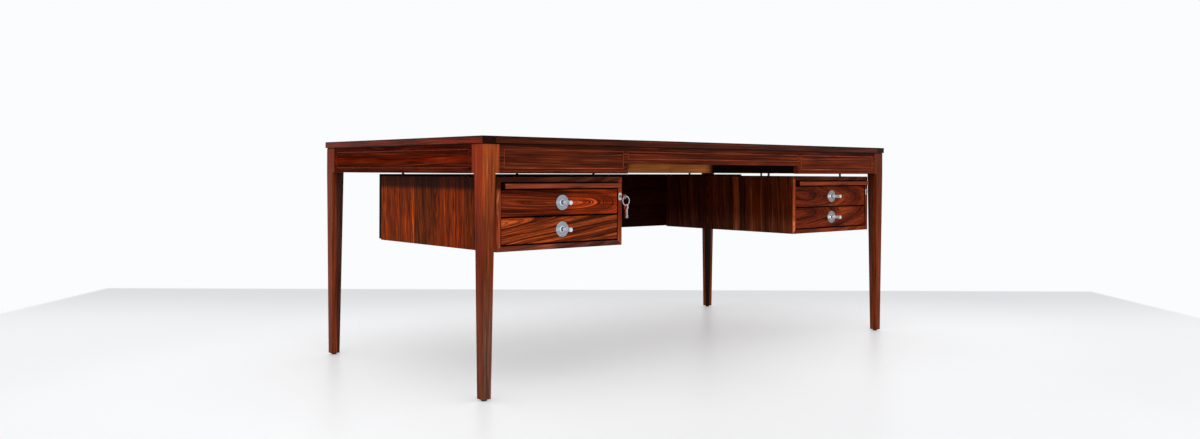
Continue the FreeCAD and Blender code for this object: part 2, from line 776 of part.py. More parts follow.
def make_pull(label, centre, level):
    """A turned pull: a stud, a dished plate with a raised rim, and a stem that flares to its end.

    The sketch holds the half section, with the distance out of the drawer front along -Y.
    """
    pull = new_body(label)
    plate = -s.pull_plate_thickness
    rim = plate - s.pull_rim_height
    neck = -s.pull_neck_start
    flare_end = -(s.pull_length - s.pull_end_lip)
    tip = -s.pull_length
    rim_inner = s.pull_plate_radius - s.pull_rim_width
    points = [
        (s.pull_stud_length, NOTHING), (s.pull_stud_length, s.pull_stud_radius),
        (NOTHING, s.pull_stud_radius), (NOTHING, s.pull_plate_radius),
        (rim, s.pull_plate_radius - s.pull_rim_height), (rim, rim_inner),
        (plate, rim_inner - s.pull_rim_height / 2),
        (plate + s.pull_dish_depth, s.pull_collar_radius), (neck, s.pull_neck_radius),
    ]
    for along, spread in PULL_FLARE_SHARES:
        points.append((neck + (flare_end - neck) * along,
                       s.pull_neck_radius + (s.pull_end_radius - s.pull_neck_radius) * spread))
    points += [(flare_end, s.pull_end_radius), (tip, s.pull_end_radius - s.pull_end_dome), (tip, NOTHING)]
    section = outline(pull, "half_section", "YZ_Plane", points)
    turned = pull.newObject("PartDesign::Revolution", "turned")
    turned.Profile = section
    turned.ReferenceAxis = (section, ["H_Axis"])
    turned.Angle = FULL_TURN_DEGREES
    place(pull, centre, front_face, level)
    return pull


# Locks and keys

def lock_middle(hand):
    """The lock stands in the right-hand board of its case, halfway through its thickness."""
    return hand * case_offset + s.case_width / 2 - s.case_wall / 2


def make_lock(side, hand):
    x = lock_middle(hand)
    plate = new_body(f"{side}_escutcheon")
    face = case_front - s.escutcheon_thickness
    straight = s.escutcheon_height - s.escutcheon_width
    block(plate, "middle", around(x, s.escutcheon_width), (face, case_front), around(lock_level, straight))
    for z in around(lock_level, straight):
        drum(plate, "round_end", s.escutcheon_width / 2, s.escutcheon_thickness, x, face, z, axis="y")
    soften(plate, "rim", s.escutcheon_edge_bevel, lambda edge: near(edge.CenterOfMass.y, face), False)
    drum(plate, "plug_bore", s.plug_radius + s.joint_clearance, s.escutcheon_thickness + s.cut_overrun * 2,
         x, face - s.cut_overrun, lock_level, axis="y", cut=True)
    plug = new_body(f"{side}_lock_plug")
    start = face + s.plug_recess
    drum(plug, "barrel", s.plug_radius, s.plug_length + s.escutcheon_thickness - s.plug_recess * 2, x, start,
         lock_level, axis="y")
    block(plug, "keyway", around(x, s.key_thickness + s.keyway_clearance * 2),
          (start - s.cut_overrun, start + s.key_blade_length + s.keyway_clearance),
          around(lock_level, s.key_blade_height + s.keyway_clearance * 2), cut=True)
    keep(f"{side}_lock_plug", plug)
    return plate


def make_key(label, thickness, bow_radius, bow_stretch, hole_radius, hole_rim, neck_length, neck_height,
             blade_height, blade_length):
    """A flat key with an oval bow, whose hole is at its own origin and whose blade points along +Y."""
    key = new_body(label)
    half = thickness / 2
    bow_start = bow_radius - hole_radius - hole_rim
    bow_end = bow_start + bow_stretch
    block(key, "bow_middle", (-half, half), (bow_start, bow_end), around(NOTHING, bow_radius * 2))
    drum(key, "bow_back", bow_radius, thickness, -half, bow_start, NOTHING, axis="x")
    drum(key, "bow_front", bow_radius, thickness, -half, bow_end, NOTHING, axis="x")
    blade_start = bow_end + bow_radius + neck_length
    block(key, "neck", (-half, half), (bow_end + bow_radius / 2, blade_start), around(NOTHING, neck_height))
    low, high = around(NOTHING, blade_height)
    points = [(blade_start, high), (blade_start, low)]
    for along, depth in KEY_NOTCH_SHARES:
        for step, cut_share in ((-1, 0), (0, depth), (1, 0)):
            points.append((blade_start + blade_length * (along + step * KEY_NOTCH_HALF_WIDTH_SHARE),
                           low + blade_height * cut_share))
    tip = blade_start + blade_length
    point_start = tip - blade_length * KEY_TIP_SHARE
    points += [(point_start, low), (tip, NOTHING), (point_start, high)]
    blade = key.newObject("PartDesign::Pad", "blade")
    blade.Profile = outline(key, "blade_outline", "YZ_Plane", points)
    blade.Midplane = True
    bind(blade, Length=thickness)
    drum(key, "hole", hole_radius, thickness + s.cut_overrun * 2, -half - s.cut_overrun, NOTHING, NOTHING,
         axis="x", cut=True)
    return key


def make_keys():
    """The key in the left lock, the ring through its bow, and two spare keys hanging from the ring."""
    x = lock_middle(-1)
    key = make_key("lock_key", s.key_thickness, s.key_bow_radius, s.key_bow_stretch, s.key_hole_radius,
                   s.key_hole_rim, s.key_neck_length, s.key_neck_height, s.key_blade_height,
                   s.key_blade_length)
    bow_length = s.key_bow_radius * 2 + s.key_bow_stretch
    reach = bow_length - s.key_hole_radius - s.key_hole_rim + s.key_neck_length
    hole_y = case_front - s.escutcheon_thickness + s.plug_recess - reach
    place(key, x, hole_y, lock_level)
    keep("lock_key", key)

    lean = math.radians(RING_LEAN_DEGREES)
    band_reach = s.ring_width / 2 / math.cos(lean) + s.key_thickness / 2 * math.tan(lean)
    band_level = lock_level - s.key_hole_radius + band_reach + s.hang_clearance
    ring_middle = s.ring_radius - s.ring_width / 2
    ring_x = x + ring_middle * math.sin(lean)
    ring_z = band_level - ring_middle * math.cos(lean)
    ring = new_body("key_ring")
    front = hole_y - s.ring_thickness / 2
    drum(ring, "disc", s.ring_radius, s.ring_thickness, ring_x, front, ring_z, axis="y")
    drum(ring, "opening", s.ring_radius - s.ring_width, s.ring_thickness + s.cut_overrun * 2, ring_x,
         front - s.cut_overrun, ring_z, axis="y", cut=True)
    keep("key_ring", ring)

    spares = []
    pitch = s.spare_thickness + s.spare_gap
    hole_z = ring_z - s.ring_radius + s.ring_width + s.hang_clearance - s.spare_hole_radius
    for number, degrees in enumerate(SPARE_KEY_LEANS_DEGREES):
        spare = make_key("spare_key", s.spare_thickness, s.spare_bow_radius, s.spare_bow_stretch,
                         s.spare_hole_radius, s.spare_hole_rim, s.spare_neck_length, s.spare_neck_height,
                         s.spare_blade_height, s.spare_blade_length)
        place(spare, ring_x + pitch * (number - 1 / 2), hole_y, hole_z, (1, 0, 0),
              -QUARTER_TURN_DEGREES - degrees)
        spares.append(spare)
    keep_group("spare_keys", spares)


def build():
    make_slab()
    beads = make_long_rail("apron_front", -1, True) + make_long_rail("apron_back", 1, False)
    beads += [make_end_rail("apron_left", -1), make_end_rail("apron_right", 1)]
    keep_group("apron_beads", beads)
    for end_name, hand_y in (("front", -1), ("back", 1)):
        for side_name, hand_x in (("left", -1), ("right", 1)):
            make_leg(f"leg_{end_name}_{side_name}", hand_x, hand_y)
    make_glides()
    make_bearers()
    make_back_panel()
    plates = []
    for side, hand in (("left", -1), ("right", 1)):
        make_case(side, hand, 1)
        make_runners(side, hand)
        make_writing_slide(side, hand)
        for level, bottom in (("upper", upper_front_bottom), ("lower", lower_front_bottom)):
            make_drawer(f"{side}_{level}_drawer", hand, bottom)
        plates.append(make_lock(side, hand))
    keep_group("lock_escutcheons", plates)
    make_keys()
    doc.recompute()


def check():
    """Stop if a feature failed or a piece has no valid closed shape."""
    failed = [item.Label for item in doc.Objects if {"Invalid", "Error"} & set(item.State)]
    if failed:
        raise RuntimeError(f"failed features: {failed}")
    for label, item in nodes.items():
        shape = item.Shape
        if shape.isNull() or not shape.isValid() or not shape.Solids:
            raise RuntimeError(f"{label} has no valid solid")


def export():
    os.makedirs("parts", exist_ok=True)
    for label, item in nodes.items():
        item.Shape.exportStep(os.path.join("parts", f"{label}.step"))
        box = item.Shape.BoundBox
        print(f"{label}: {len(item.Shape.Solids)} solids, {item.Shape.Volume / 1000:.1f} cm3,",
              f"X {box.XMin:.1f} {box.XMax:.1f}, Y {box.YMin:.1f} {box.YMax:.1f},",
              f"Z {box.ZMin:.1f} {box.ZMax:.1f}")


build()
check()
export()
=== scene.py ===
"""Dressing of the executive desk: rosewood, satin nickel fittings, stage and camera.

Metres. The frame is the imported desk's own: +X along the desk, -Y towards the user, +Z up.
"""
import math

import bmesh
import bpy
import numpy as np
from mathutils import Matrix, Vector


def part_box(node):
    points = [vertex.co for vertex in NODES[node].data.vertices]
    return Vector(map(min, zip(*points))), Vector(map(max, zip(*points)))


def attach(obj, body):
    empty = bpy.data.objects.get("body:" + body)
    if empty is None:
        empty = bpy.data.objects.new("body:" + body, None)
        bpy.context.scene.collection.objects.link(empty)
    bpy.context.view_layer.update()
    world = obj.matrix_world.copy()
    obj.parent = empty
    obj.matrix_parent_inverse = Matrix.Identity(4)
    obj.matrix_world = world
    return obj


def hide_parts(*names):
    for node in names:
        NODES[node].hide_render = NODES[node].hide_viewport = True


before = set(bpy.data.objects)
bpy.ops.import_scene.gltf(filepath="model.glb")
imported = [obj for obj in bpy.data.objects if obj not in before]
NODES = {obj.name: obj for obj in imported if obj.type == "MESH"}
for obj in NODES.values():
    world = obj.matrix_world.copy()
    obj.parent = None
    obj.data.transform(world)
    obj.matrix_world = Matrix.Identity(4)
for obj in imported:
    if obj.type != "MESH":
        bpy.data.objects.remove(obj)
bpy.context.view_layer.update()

bl_info = {
    "name": "Executive desk",
    "version": (1, 0, 0),
    "blender": (4, 5, 0),
    "location": "View3D > Sidebar > Desk",
    "description": "Finishes, fittings and stage of a rosewood executive desk",
    "category": "Object",
}

SIDES, ENDS = ("left", "right"), ("front", "back")
LEVELS, REACHES = ("upper", "lower"), ("outer", "inner")
PULL_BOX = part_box("left_upper_drawer_pull")
DRAWER_FACE = float(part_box("left_upper_drawer_front")[0][1])
PLATE_RADIUS = float(PULL_BOX[1][0] - PULL_BOX[0][0]) / 2


# Settings

class RosewoodSettings(bpy.types.PropertyGroup):
    """Colours and gloss that all the rosewood pieces share."""

    base: bpy.props.FloatVectorProperty(
        name="Heartwood", description="Main red-brown of the wood", subtype="COLOR", size=3, min=0, max=1,
        default=(0.223, 0.0342, 0.0060))
    light: bpy.props.FloatVectorProperty(
        name="Light bands", description="Orange bands between the veins", subtype="COLOR", size=3, min=0,
        max=1, default=(0.437, 0.0900, 0.0165))
    dark: bpy.props.FloatVectorProperty(
        name="Veins", description="Near-black veins", subtype="COLOR", size=3, min=0, max=1,
        default=(0.020, 0.0045, 0.0022))
    roughness: bpy.props.FloatProperty(
        name="Roughness", description="Roughness of the oiled surface", default=0.36, min=0, max=1,
        subtype="FACTOR")
    oil: bpy.props.FloatVectorProperty(
        name="Oil", description="Warm tint of the light that the oiled surface reflects", subtype="COLOR",
        size=3, min=0, max=1, default=(1.0, 0.72, 0.52))
    pore_depth: bpy.props.FloatProperty(
        name="Pore depth", description="Depth of the open pores", default=0.00012, min=0, unit="LENGTH",
        precision=5)


class PullSettings(bpy.types.PropertyGroup):
    """The turned pulls: a dished plate with a rim, a collar, and a stem that flares to its end."""

    plate_radius: bpy.props.FloatProperty(
        name="Plate radius", description="Radius of the round plate", unit="LENGTH",
        default=PLATE_RADIUS)
    length: bpy.props.FloatProperty(
        name="Length", description="Distance from the drawer front to the end of the stem", unit="LENGTH",
        default=DRAWER_FACE - float(PULL_BOX[0][1]))
    stud_length: bpy.props.FloatProperty(
        name="Stud length", description="Length of the stud inside the drawer front", unit="LENGTH",
        default=float(PULL_BOX[1][1]) - DRAWER_FACE)
    stud_radius: bpy.props.FloatProperty(
        name="Stud radius", description="Radius of the stud", default=0.0024, unit="LENGTH")
    plate_thickness: bpy.props.FloatProperty(
        name="Plate thickness", description="Thickness of the plate at its rim", default=0.0024,
        unit="LENGTH")
    rim_height: bpy.props.FloatProperty(
        name="Rim height", description="Rise of the rim over the plate", default=0.0008, unit="LENGTH")
    rim_width: bpy.props.FloatProperty(
        name="Rim width", description="Width of the raised rim", default=0.0022, unit="LENGTH")
    collar_radius: bpy.props.FloatProperty(
        name="Collar radius", description="Radius where the stem leaves the plate", default=0.008,
        unit="LENGTH")
    neck_radius: bpy.props.FloatProperty(
        name="Neck radius", description="Radius of the stem at its thinnest", default=0.0038, unit="LENGTH")
    neck_place: bpy.props.FloatProperty(
        name="Neck place", description="Distance of the neck from the drawer front", default=0.0062,
        unit="LENGTH")
    end_radius: bpy.props.FloatProperty(
        name="End radius", description="Radius of the flared end", default=0.0064, unit="LENGTH")
    end_length: bpy.props.FloatProperty(
        name="End length", description="Length of the plain edge past the flare", default=0.0022,
        unit="LENGTH")
    flare_power: bpy.props.FloatProperty(
        name="Flare", description="How late along the stem the flare opens", default=1.15, min=1)


class BeadSettings(bpy.types.PropertyGroup):
    """The thin mouldings that frame the sunk fields of the aprons."""

    end_border: bpy.props.FloatProperty(
        name="End border", description="Plain wood beside each field", default=0.016, unit="LENGTH")
    top_border: bpy.props.FloatProperty(
        name="Top border", description="Plain wood over each field", default=0.0125, unit="LENGTH")
    bottom_border: bpy.props.FloatProperty(
        name="Bottom border", description="Plain wood under each field", default=0.0135, unit="LENGTH")
    arch_height: bpy.props.FloatProperty(
        name="Arch height", description="Rise of the front apron's lower edge over the knees",
        default=0.0295, unit="LENGTH")
    arch_inset: bpy.props.FloatProperty(
        name="Arch inset", description="Distance of the arch's end from the bearer", default=0.0015,
        unit="LENGTH")
    field_depth: bpy.props.FloatProperty(
        name="Field depth", description="Depth of the sunk fields", default=0.002, unit="LENGTH")
    width: bpy.props.FloatProperty(
        name="Bead width", description="Width of the moulding", default=0.0036, unit="LENGTH")
    rise: bpy.props.FloatProperty(
        name="Bead rise", description="Height of the moulding over the field", default=0.003,
        unit="LENGTH")


class RingSettings(bpy.types.PropertyGroup):
    """The split ring that holds the spare keys."""

    wire_width: bpy.props.FloatProperty(
        name="Wire width", description="Width of the flat wire towards the ring's middle", default=0.0014,
        unit="LENGTH")
    turns: bpy.props.FloatProperty(
        name="Turns", description="How often the wire goes round", default=2.0, min=1)
    start: bpy.props.FloatProperty(
        name="Start", description="Angle at which the wire starts", subtype="ANGLE", default=2.2)
    crossing_start: bpy.props.FloatProperty(
        name="Crossing start", description="Share of the wire before it crosses over", default=0.42, min=0,
        max=1, subtype="FACTOR")
    crossing_run: bpy.props.FloatProperty(
        name="Crossing run", description="Share of the wire in which it crosses over", default=0.16,
        min=0.01, max=1, subtype="FACTOR")


class StageSettings(bpy.types.PropertyGroup):
    """Floor, surroundings, lamps and camera."""

    floor_colour: bpy.props.FloatVectorProperty(
        name="Floor", description="Colour of the pale floor", subtype="COLOR", size=3, min=0, max=1,
        default=(0.985, 0.99, 1.0))
    surround_colour: bpy.props.FloatVectorProperty(
        name="Surround", description="Colour seen round the floor", subtype="COLOR", size=3, min=0, max=1,
        default=(0.96, 0.972, 0.99))
    floor_white: bpy.props.FloatProperty(
        name="Floor white", description="Share of plain white that is seen in the floor", default=0.22,
        min=0, max=1, subtype="FACTOR")
    # The far tone is painted shade along the floor's far edge, and the outer tone leaves the floor under
    # the desk paler, as painted light.
    far_tone: bpy.props.FloatProperty(
        name="Far tone", description="Tone of the floor at its far edge", default=0.68, min=0, max=1,
        subtype="FACTOR")
    far_run: bpy.props.FloatProperty(
        name="Far run", description="Depth of floor in which the far tone sets in", default=1.35,
        unit="LENGTH")
    outer_tone: bpy.props.FloatProperty(
        name="Outer tone", description="Tone of the floor away from the desk", default=0.875, min=0, max=1,
        subtype="FACTOR")
    outer_start: bpy.props.FloatProperty(
        name="Outer start", description="Distance from the desk's middle where the outer tone sets in",
        default=0.8, unit="LENGTH")
    outer_full: bpy.props.FloatProperty(
        name="Outer full", description="Distance from the desk's middle where the outer tone is full",
        default=1.7, unit="LENGTH")
    surround_light: bpy.props.FloatProperty(
        name="Surround light", description="Strength of the light from all sides", default=0.95, min=0)
    key_power: bpy.props.FloatProperty(
        name="Key lamp", description="Power of the large lamp on the left", default=20.0, min=0,
        unit="POWER")
    fill_power: bpy.props.FloatProperty(
        name="Fill lamp", description="Power of the lamp in front", default=14.0, min=0, unit="POWER")
    floor_reach: bpy.props.FloatProperty(
        name="Floor reach", description="Half the width of the toned floor", default=2.6, unit="LENGTH")
    floor_depth: bpy.props.FloatProperty(
        name="Floor depth", description="Distance of the floor's far edge from the camera", default=5.24,
        unit="LENGTH")
    camera_place: bpy.props.FloatVectorProperty(
        name="Camera", description="Place of the camera", subtype="TRANSLATION", size=3,
        default=(-2.47843, -2.70174, 0.62912))
    camera_turn: bpy.props.FloatProperty(
        name="Camera turn", description="Turn of the camera about the upright axis", subtype="ANGLE",
        default=-0.7167)
    camera_roll: bpy.props.FloatProperty(
        name="Camera roll", description="Roll of the camera about its own view line", subtype="ANGLE",
        default=0.0035)
    lens: bpy.props.FloatProperty(
        name="Lens", description="Focal length for a 36 mm wide picture", default=29.688, min=1)
    shift: bpy.props.FloatProperty(
        name="Shift", description="Upright shift of the picture as a share of its width",
        default=-0.04026)


SETTINGS = {"desk_rosewood": RosewoodSettings, "desk_pull": PullSettings, "desk_bead": BeadSettings,
            "desk_ring": RingSettings, "desk_stage": StageSettings}


# Meshes

def piece_from(name, points, faces, body, material, smooth=True):
    """A new object from arrays of points and faces, riding on a body, with its finish."""
    mesh = bpy.data.meshes.new(name)
    mesh.from_pydata(points.tolist(), [], faces)
    mesh.polygons.foreach_set("use_smooth", np.full(len(mesh.polygons), smooth))
    mesh.materials.append(material)
    mesh.update()
    piece = bpy.data.objects.new(name, mesh)
    bpy.context.scene.collection.objects.link(piece)
    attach(piece, body)
    return piece


def grid_faces(rows, columns, closed_rows=False):
    """Quads between neighbours of a grid whose columns close on themselves, as index arrays.

    Point (i, j) has number i * columns + j. Rows close too when closed_rows is true.
    """
    i, j = np.meshgrid(np.arange(rows if closed_rows else rows - 1), np.arange(columns), indexing="ij")
    after_i = (i + 1) % rows
    after_j = (j + 1) % columns
    quads = np.stack((i * columns + j, i * columns + after_j, after_i * columns + after_j,
                      after_i * columns + j), axis=-1)
    return quads.reshape(-1, 4).tolist()


def rounded(points, radii, steps, closed):
    """A polyline with its corners rounded by quadratic curves.

    Each corner p, with neighbours a and b, becomes (1-s)^2 p0 + 2 s (1-s) p + s^2 p1 for s from 0
    to 1, where p0 and p1 lie on the sides towards a and b at the corner's radius, or half the side
    where that is shorter.
    """
    points = np.asarray(points, float)
    radii = np.asarray(radii, float)
    before = np.roll(points, 1, axis=0)
    after = np.roll(points, -1, axis=0)
    share = np.linspace(0, 1, steps)[None, :, None]
    to_before = before - points
    to_after = after - points
    long_before = np.linalg.norm(to_before, axis=1)
    long_after = np.linalg.norm(to_after, axis=1)
    first = points + to_before / long_before[:, None] * np.minimum(radii, long_before / 2)[:, None]
    last = points + to_after / long_after[:, None] * np.minimum(radii, long_after / 2)[:, None]
    curve = ((1 - share) ** 2 * first[:, None] + 2 * share * (1 - share) * points[:, None]
             + share ** 2 * last[:, None])
    if closed:
        return curve.reshape(-1, 2)
    return np.vstack((points[:1], curve[1:-1].reshape(-1, 2), points[-1:]))


def turned(profile, centre, segments):
    """A surface of revolution about the -Y direction through a point.

    For each profile point (d, r) and angle t the surface has centre + (r cos t, -d, r sin t). The
    profile starts and ends on the axis, where one point stands for the whole circle.
    """
    angle = np.arange(segments) * 2 * math.pi / segments
    d, r = profile[1:-1, 0], profile[1:-1, 1]
    ring = np.stack((r[:, None] * np.cos(angle), -d[:, None] * np.ones(segments),
                     r[:, None] * np.sin(angle)), axis=-1).reshape(-1, 3)
    poles = np.array([[0, -profile[0, 0], 0], [0, -profile[-1, 0], 0]])
    points = np.vstack((ring, poles)) + np.asarray(centre)
    rows = len(d)
    faces = [face[::-1] for face in grid_faces(rows, segments)]
    j = np.arange(segments)
    first, last = rows * segments, rows * segments + 1
    start = np.stack((np.full(segments, first), (j + 1) % segments, j), axis=-1)[:, ::-1]
    base = (rows - 1) * segments
    end = np.stack((np.full(segments, last), base + j, base + (j + 1) % segments), axis=-1)[:, ::-1]
    return points, faces + start.tolist() + end.tolist()


# The beads' section: its shoulder, slope and roundings, as shares of its rise and width

SHOULDER_SHARE, SLOPE_SHARE, EASE_SHARE = 0.62, 0.3, 0.35


def frame_moulding(profile, axis, hand, face, run, tall):
    """A closed moulding round a rectangle, mitred at its corners.

    A profile point (a, h) gives the rectangle's four corners moved inwards by a on both sides and
    raised by h from the field's floor, along the outward axis.
    """
    inset, rise = profile[:, 0], profile[:, 1]
    corners = np.array([(1, 1), (-1, 1), (-1, -1), (1, -1)], float)
    origin = np.array([(run[0], tall[0]), (run[1], tall[0]), (run[1], tall[1]), (run[0], tall[1])])
    flat = origin[:, None, :] + corners[:, None, :] * inset[None, :, None]
    out = np.broadcast_to(face + hand * rise, flat.shape[:2])
    if axis == "y":
        points = np.stack((flat[..., 0], out, flat[..., 1]), axis=-1)
    else:
        points = np.stack((out, flat[..., 0], flat[..., 1]), axis=-1)
    return points.reshape(-1, 3), grid_faces(4, len(profile), True)


# The split ring's wire: steps along it, and its offset, half thickness and rounding as shares

RING_STEPS, OFFSET_SHARE, HALF_SHARE, ROUNDING_SHARE = 160, 0.25, 0.235, 0.7


def split_ring(centre, outer, thickness, look):
    """A flat wire wound round more than once, with its section carried along a tight helix.

    At angle t the section's middle is centre + (R cos t, y(t), R sin t), where y goes from minus to
    plus a quarter of the thickness and eases across in the crossing.
    """
    share = np.linspace(0.0, 1.0, RING_STEPS + 1)
    angle = share * look.turns * 2 * math.pi + look.start
    cross = np.clip((share - look.crossing_start) / look.crossing_run, 0, 1)
    ease = cross * cross * (3 - 2 * cross)
    y = (ease * 2 - 1) * thickness * OFFSET_SHARE
    half_w, half_t = look.wire_width / 2, thickness * HALF_SHARE
    section = rounded([(-half_w, -half_t), (half_w, -half_t), (half_w, half_t), (-half_w, half_t)],
                      [half_t * ROUNDING_SHARE] * 4, 4, True)
    radius = outer - half_w + section[:, 0]
    points = np.stack((np.cos(angle)[:, None] * radius, y[:, None] + section[:, 1],
                       np.sin(angle)[:, None] * radius), axis=-1).reshape(-1, 3) + centre
    columns = len(section)
    caps = [list(range(columns)), list(range(RING_STEPS * columns, (RING_STEPS + 1) * columns))[::-1]]
    return points, grid_faces(RING_STEPS + 1, columns) + caps


# The pulls' profile: steps of the flare and round the axis, small steps, and the rounding of each corner

FLARE_STEPS, PULL_SEGMENTS = 22, 96
RIM_LEAN, RIM_SLOPE = 0.0004, 0.0006
DISH_DEPTH, DISH_EDGE, COLLAR_STEP = 0.0005, 0.0014, 0.0002
END_EDGE, END_CHAMFER, END_HOLLOW, END_HOLLOW_SHARE = 0.0006, 0.0010, 0.0003, 0.6
FOOT_ROUNDINGS = (0, 0, 0, 0.0003, 0.0008, 0.0007, 0.0006, 0.0012, 0.0008, 0.0016)
FLARE_ROUNDING = 0.0004
END_ROUNDINGS = (0.0005, 0.0006, 0.001, 0)


def pull_profile(look):
    """Points (distance from the drawer front, radius) of a pull, from its stud to its end.

    In the flare the radius goes from the neck's to the end's with a power of the share of the way.
    """
    plate, rim = look.plate_thickness, look.plate_thickness + look.rim_height
    inner = look.plate_radius - look.rim_width
    share = np.linspace(0, 1, FLARE_STEPS)
    run = look.length - look.end_length - look.neck_place
    flare = np.stack((look.neck_place + run * share, look.neck_radius
                      + (look.end_radius - look.neck_radius) * share ** look.flare_power), axis=-1)
    foot = [(-look.stud_length, 0.0), (-look.stud_length, look.stud_radius), (0.0, look.stud_radius),
            (0.0, look.plate_radius), (rim, look.plate_radius - RIM_LEAN), (rim, inner),
            (plate, inner - RIM_SLOPE), (plate - DISH_DEPTH, look.collar_radius + DISH_EDGE),
            (plate + COLLAR_STEP, look.collar_radius),
            (look.neck_place - COLLAR_STEP, look.neck_radius + COLLAR_STEP)]
    end = [(look.length - END_EDGE, look.end_radius), (look.length, look.end_radius - END_CHAMFER),
           (look.length - END_HOLLOW, look.end_radius * END_HOLLOW_SHARE), (look.length - END_HOLLOW, 0.0)]
    radii = (*FOOT_ROUNDINGS, *[FLARE_ROUNDING] * len(flare), *END_ROUNDINGS)
    return rounded(np.vstack((foot, flare, end)), radii, 5, False)


def outward(piece):
    """Turn every face of a closed mesh outwards."""
    work = bmesh.new()
    work.from_mesh(piece.data)
    bmesh.ops.recalc_face_normals(work, faces=work.faces)
    work.to_mesh(piece.data)
    work.free()


# Materials

class Graph:
    """A small helper that adds and links shader nodes."""

    def __init__(self, tree):
        self.tree = tree

    def add(self, kind, settings=None, **inputs):
        node = self.tree.nodes.new(kind)
        for key, value in (settings or {}).items():
            setattr(node, key, value)
        for key, value in inputs.items():
            self.set(node, key.replace("_", " "), value)
        return node

    def set(self, node, key, value):
        socket = node.inputs[int(key[1:])] if key[0] == "i" and key[1:].isdigit() else node.inputs[key]
        if isinstance(value, bpy.types.NodeSocket):
            self.tree.links.new(value, socket)
        else:
            socket.default_value = value

    def math(self, operation, first, second=0.0, clamp=False):
        node = self.add("ShaderNodeMath", {"operation": operation, "use_clamp": clamp}, i0=first, i1=second)
        return node.outputs[0]

    def vector(self, operation, first, second=(0, 0, 0)):
        node = self.add("ShaderNodeVectorMath", {"operation": operation}, i0=first, i1=second)
        return node.outputs["Value" if operation in ("LENGTH", "DOT_PRODUCT") else "Vector"]

    def noise(self, vector, scale, detail=2.0, rough=0.5, output="Fac"):
        node = self.add("ShaderNodeTexNoise", Vector=vector, Scale=scale, Detail=detail, Roughness=rough)
        return node.outputs[output]

    def span(self, value, low, high, to_low=0.0, to_high=1.0, kind="SMOOTHSTEP"):
        """A value that goes from to_low to to_high while another goes from low to high."""
        node = self.add("ShaderNodeMapRange", {"interpolation_type": kind, "clamp": True}, i0=value, i1=low,
                        i2=high, i3=to_low, i4=to_high)
        return node.outputs[0]

    def mix(self, share, first, second, blend="MIX"):
        node = self.tree.nodes.new("ShaderNodeMix")
        node.data_type = "RGBA"
        node.blend_type = blend
        for socket, value in ((node.inputs[0], share), (node.inputs[6], first), (node.inputs[7], second)):
            if isinstance(value, bpy.types.NodeSocket):
                self.tree.links.new(value, socket)
            elif socket.type == "RGBA":
                socket.default_value = (*value[:3], 1.0)
            else:
                socket.default_value = value
        return node.outputs[2]

    def ramp(self, value, stops):
        """A grey value that runs straight between (place, value) stops; values may pass 1."""
        node = self.add("ShaderNodeFloatCurve", Value=value)
        curve = node.mapping.curves[0]
        top = max(height for _, height in stops)
        curve.points[0].location = (stops[0][0], stops[0][1] / top)
        curve.points[-1].location = (stops[-1][0], stops[-1][1] / top)
        for place, height in stops[1:-1]:
            curve.points.new(place, height / top)
        for point in curve.points:
            point.handle_type = "VECTOR"
        node.mapping.update()
        return self.math("MULTIPLY", node.outputs[0], top)

    def combine(self, x=0.0, y=0.0, z=0.0):
        return self.add("ShaderNodeCombineXYZ", X=x, Y=y, Z=z).outputs[0]

    def split(self, vector):
        """The three parts of a vector."""
        return self.add("ShaderNodeSeparateXYZ", Vector=vector).outputs

    def toned(self, colour, tone):
        """A colour times a grey tone."""
        return self.mix(1.0, colour, self.combine(tone, tone, tone), "MULTIPLY")

    def laid(self, place, centre, turn=(0, 0, 0)):
        """A place counted from a centre, along axes that are turned with it."""
        node = self.add("ShaderNodeMapping", {"vector_type": "TEXTURE"}, Vector=place, Location=centre,
                        Rotation=turn)
        return node.outputs[0]

    def bump(self, shader, height, strength, distance):
        """Raise a shader's surface by a height that is given as a share of a distance."""
        node = self.add("ShaderNodeBump", Height=height, Strength=strength, Distance=distance)
        self.set(shader, "Normal", node.outputs[0])

    def seen(self):
        """1 for what the camera sees, also in a mirror or through glass, and 0 for light."""
        path = self.add("ShaderNodeLightPath").outputs
        return self.math("MAXIMUM", path["Is Camera Ray"],
                         self.math("MAXIMUM", path["Is Glossy Ray"], path["Is Transmission Ray"]))


def new_material(name):
    """A new material, with its node helper, its shader and the place on the piece."""
    material = bpy.data.materials.new(name)
    material.use_nodes = True
    graph = Graph(material.node_tree)
    shader = material.node_tree.nodes["Principled BSDF"]
    return material, graph, shader, graph.add("ShaderNodeTexCoord").outputs["Object"]


# Scales of the figure's plain noises, along and across the grain

SLOW_SCALE, FADE_SCALE, CLOUD_SCALE = (2.2, 9.0, 9.0), (6.0, 40.0, 40.0), (3.5, 24.0, 24.0)
FIBRE_SCALE, THREAD_SCALE, PORE_SCALE = (14.0, 620.0, 620.0), (5.0, 240.0, 240.0), (70.0, 2100.0, 2100.0)

# The ring noises: scales over the rings and along the grain, seed, detail, roughness; and their shares

BROAD, STREAKS = (1.0, 1.6, 0.3, 2.0, 0.5), (3.7, 3.2, 7.7, 3.0, 0.62)
FINE, CONTOUR = (9.0, 6.0, 11.3, 2.0, 0.6), (0.9, 0.9, 3.1, 1.5, 0.45)
BROAD_SHARE, STREAK_SHARE, FINE_SHARE = 0.44, 0.33, 0.23
VEIN_SOFTNESS, BAND_SOFTNESS = 0.06, 0.11
LINE_COUNT, LINE_RAGGEDNESS, LINE_CORE, LINE_REACH = 7.0, 0.03, 0.03, 0.15

# The inputs of the figure's node group: name, kind and default

FIGURE_INPUTS = (("Vector", "Vector", None), ("Base", "Color", None), ("Light", "Color", None),
                 ("Dark", "Color", None), ("Spacing", "Float", 0.01), ("Swirl", "Float", 0.02),
                 ("Heart Y", "Float", 0.0), ("Heart Z", "Float", 0.0), ("Veins", "Float", 0.4),
                 ("Bands", "Float", 0.5), ("Fibre", "Float", 0.2), ("Lines", "Float", 0.5),
                 ("Bow", "Float", 0.0))


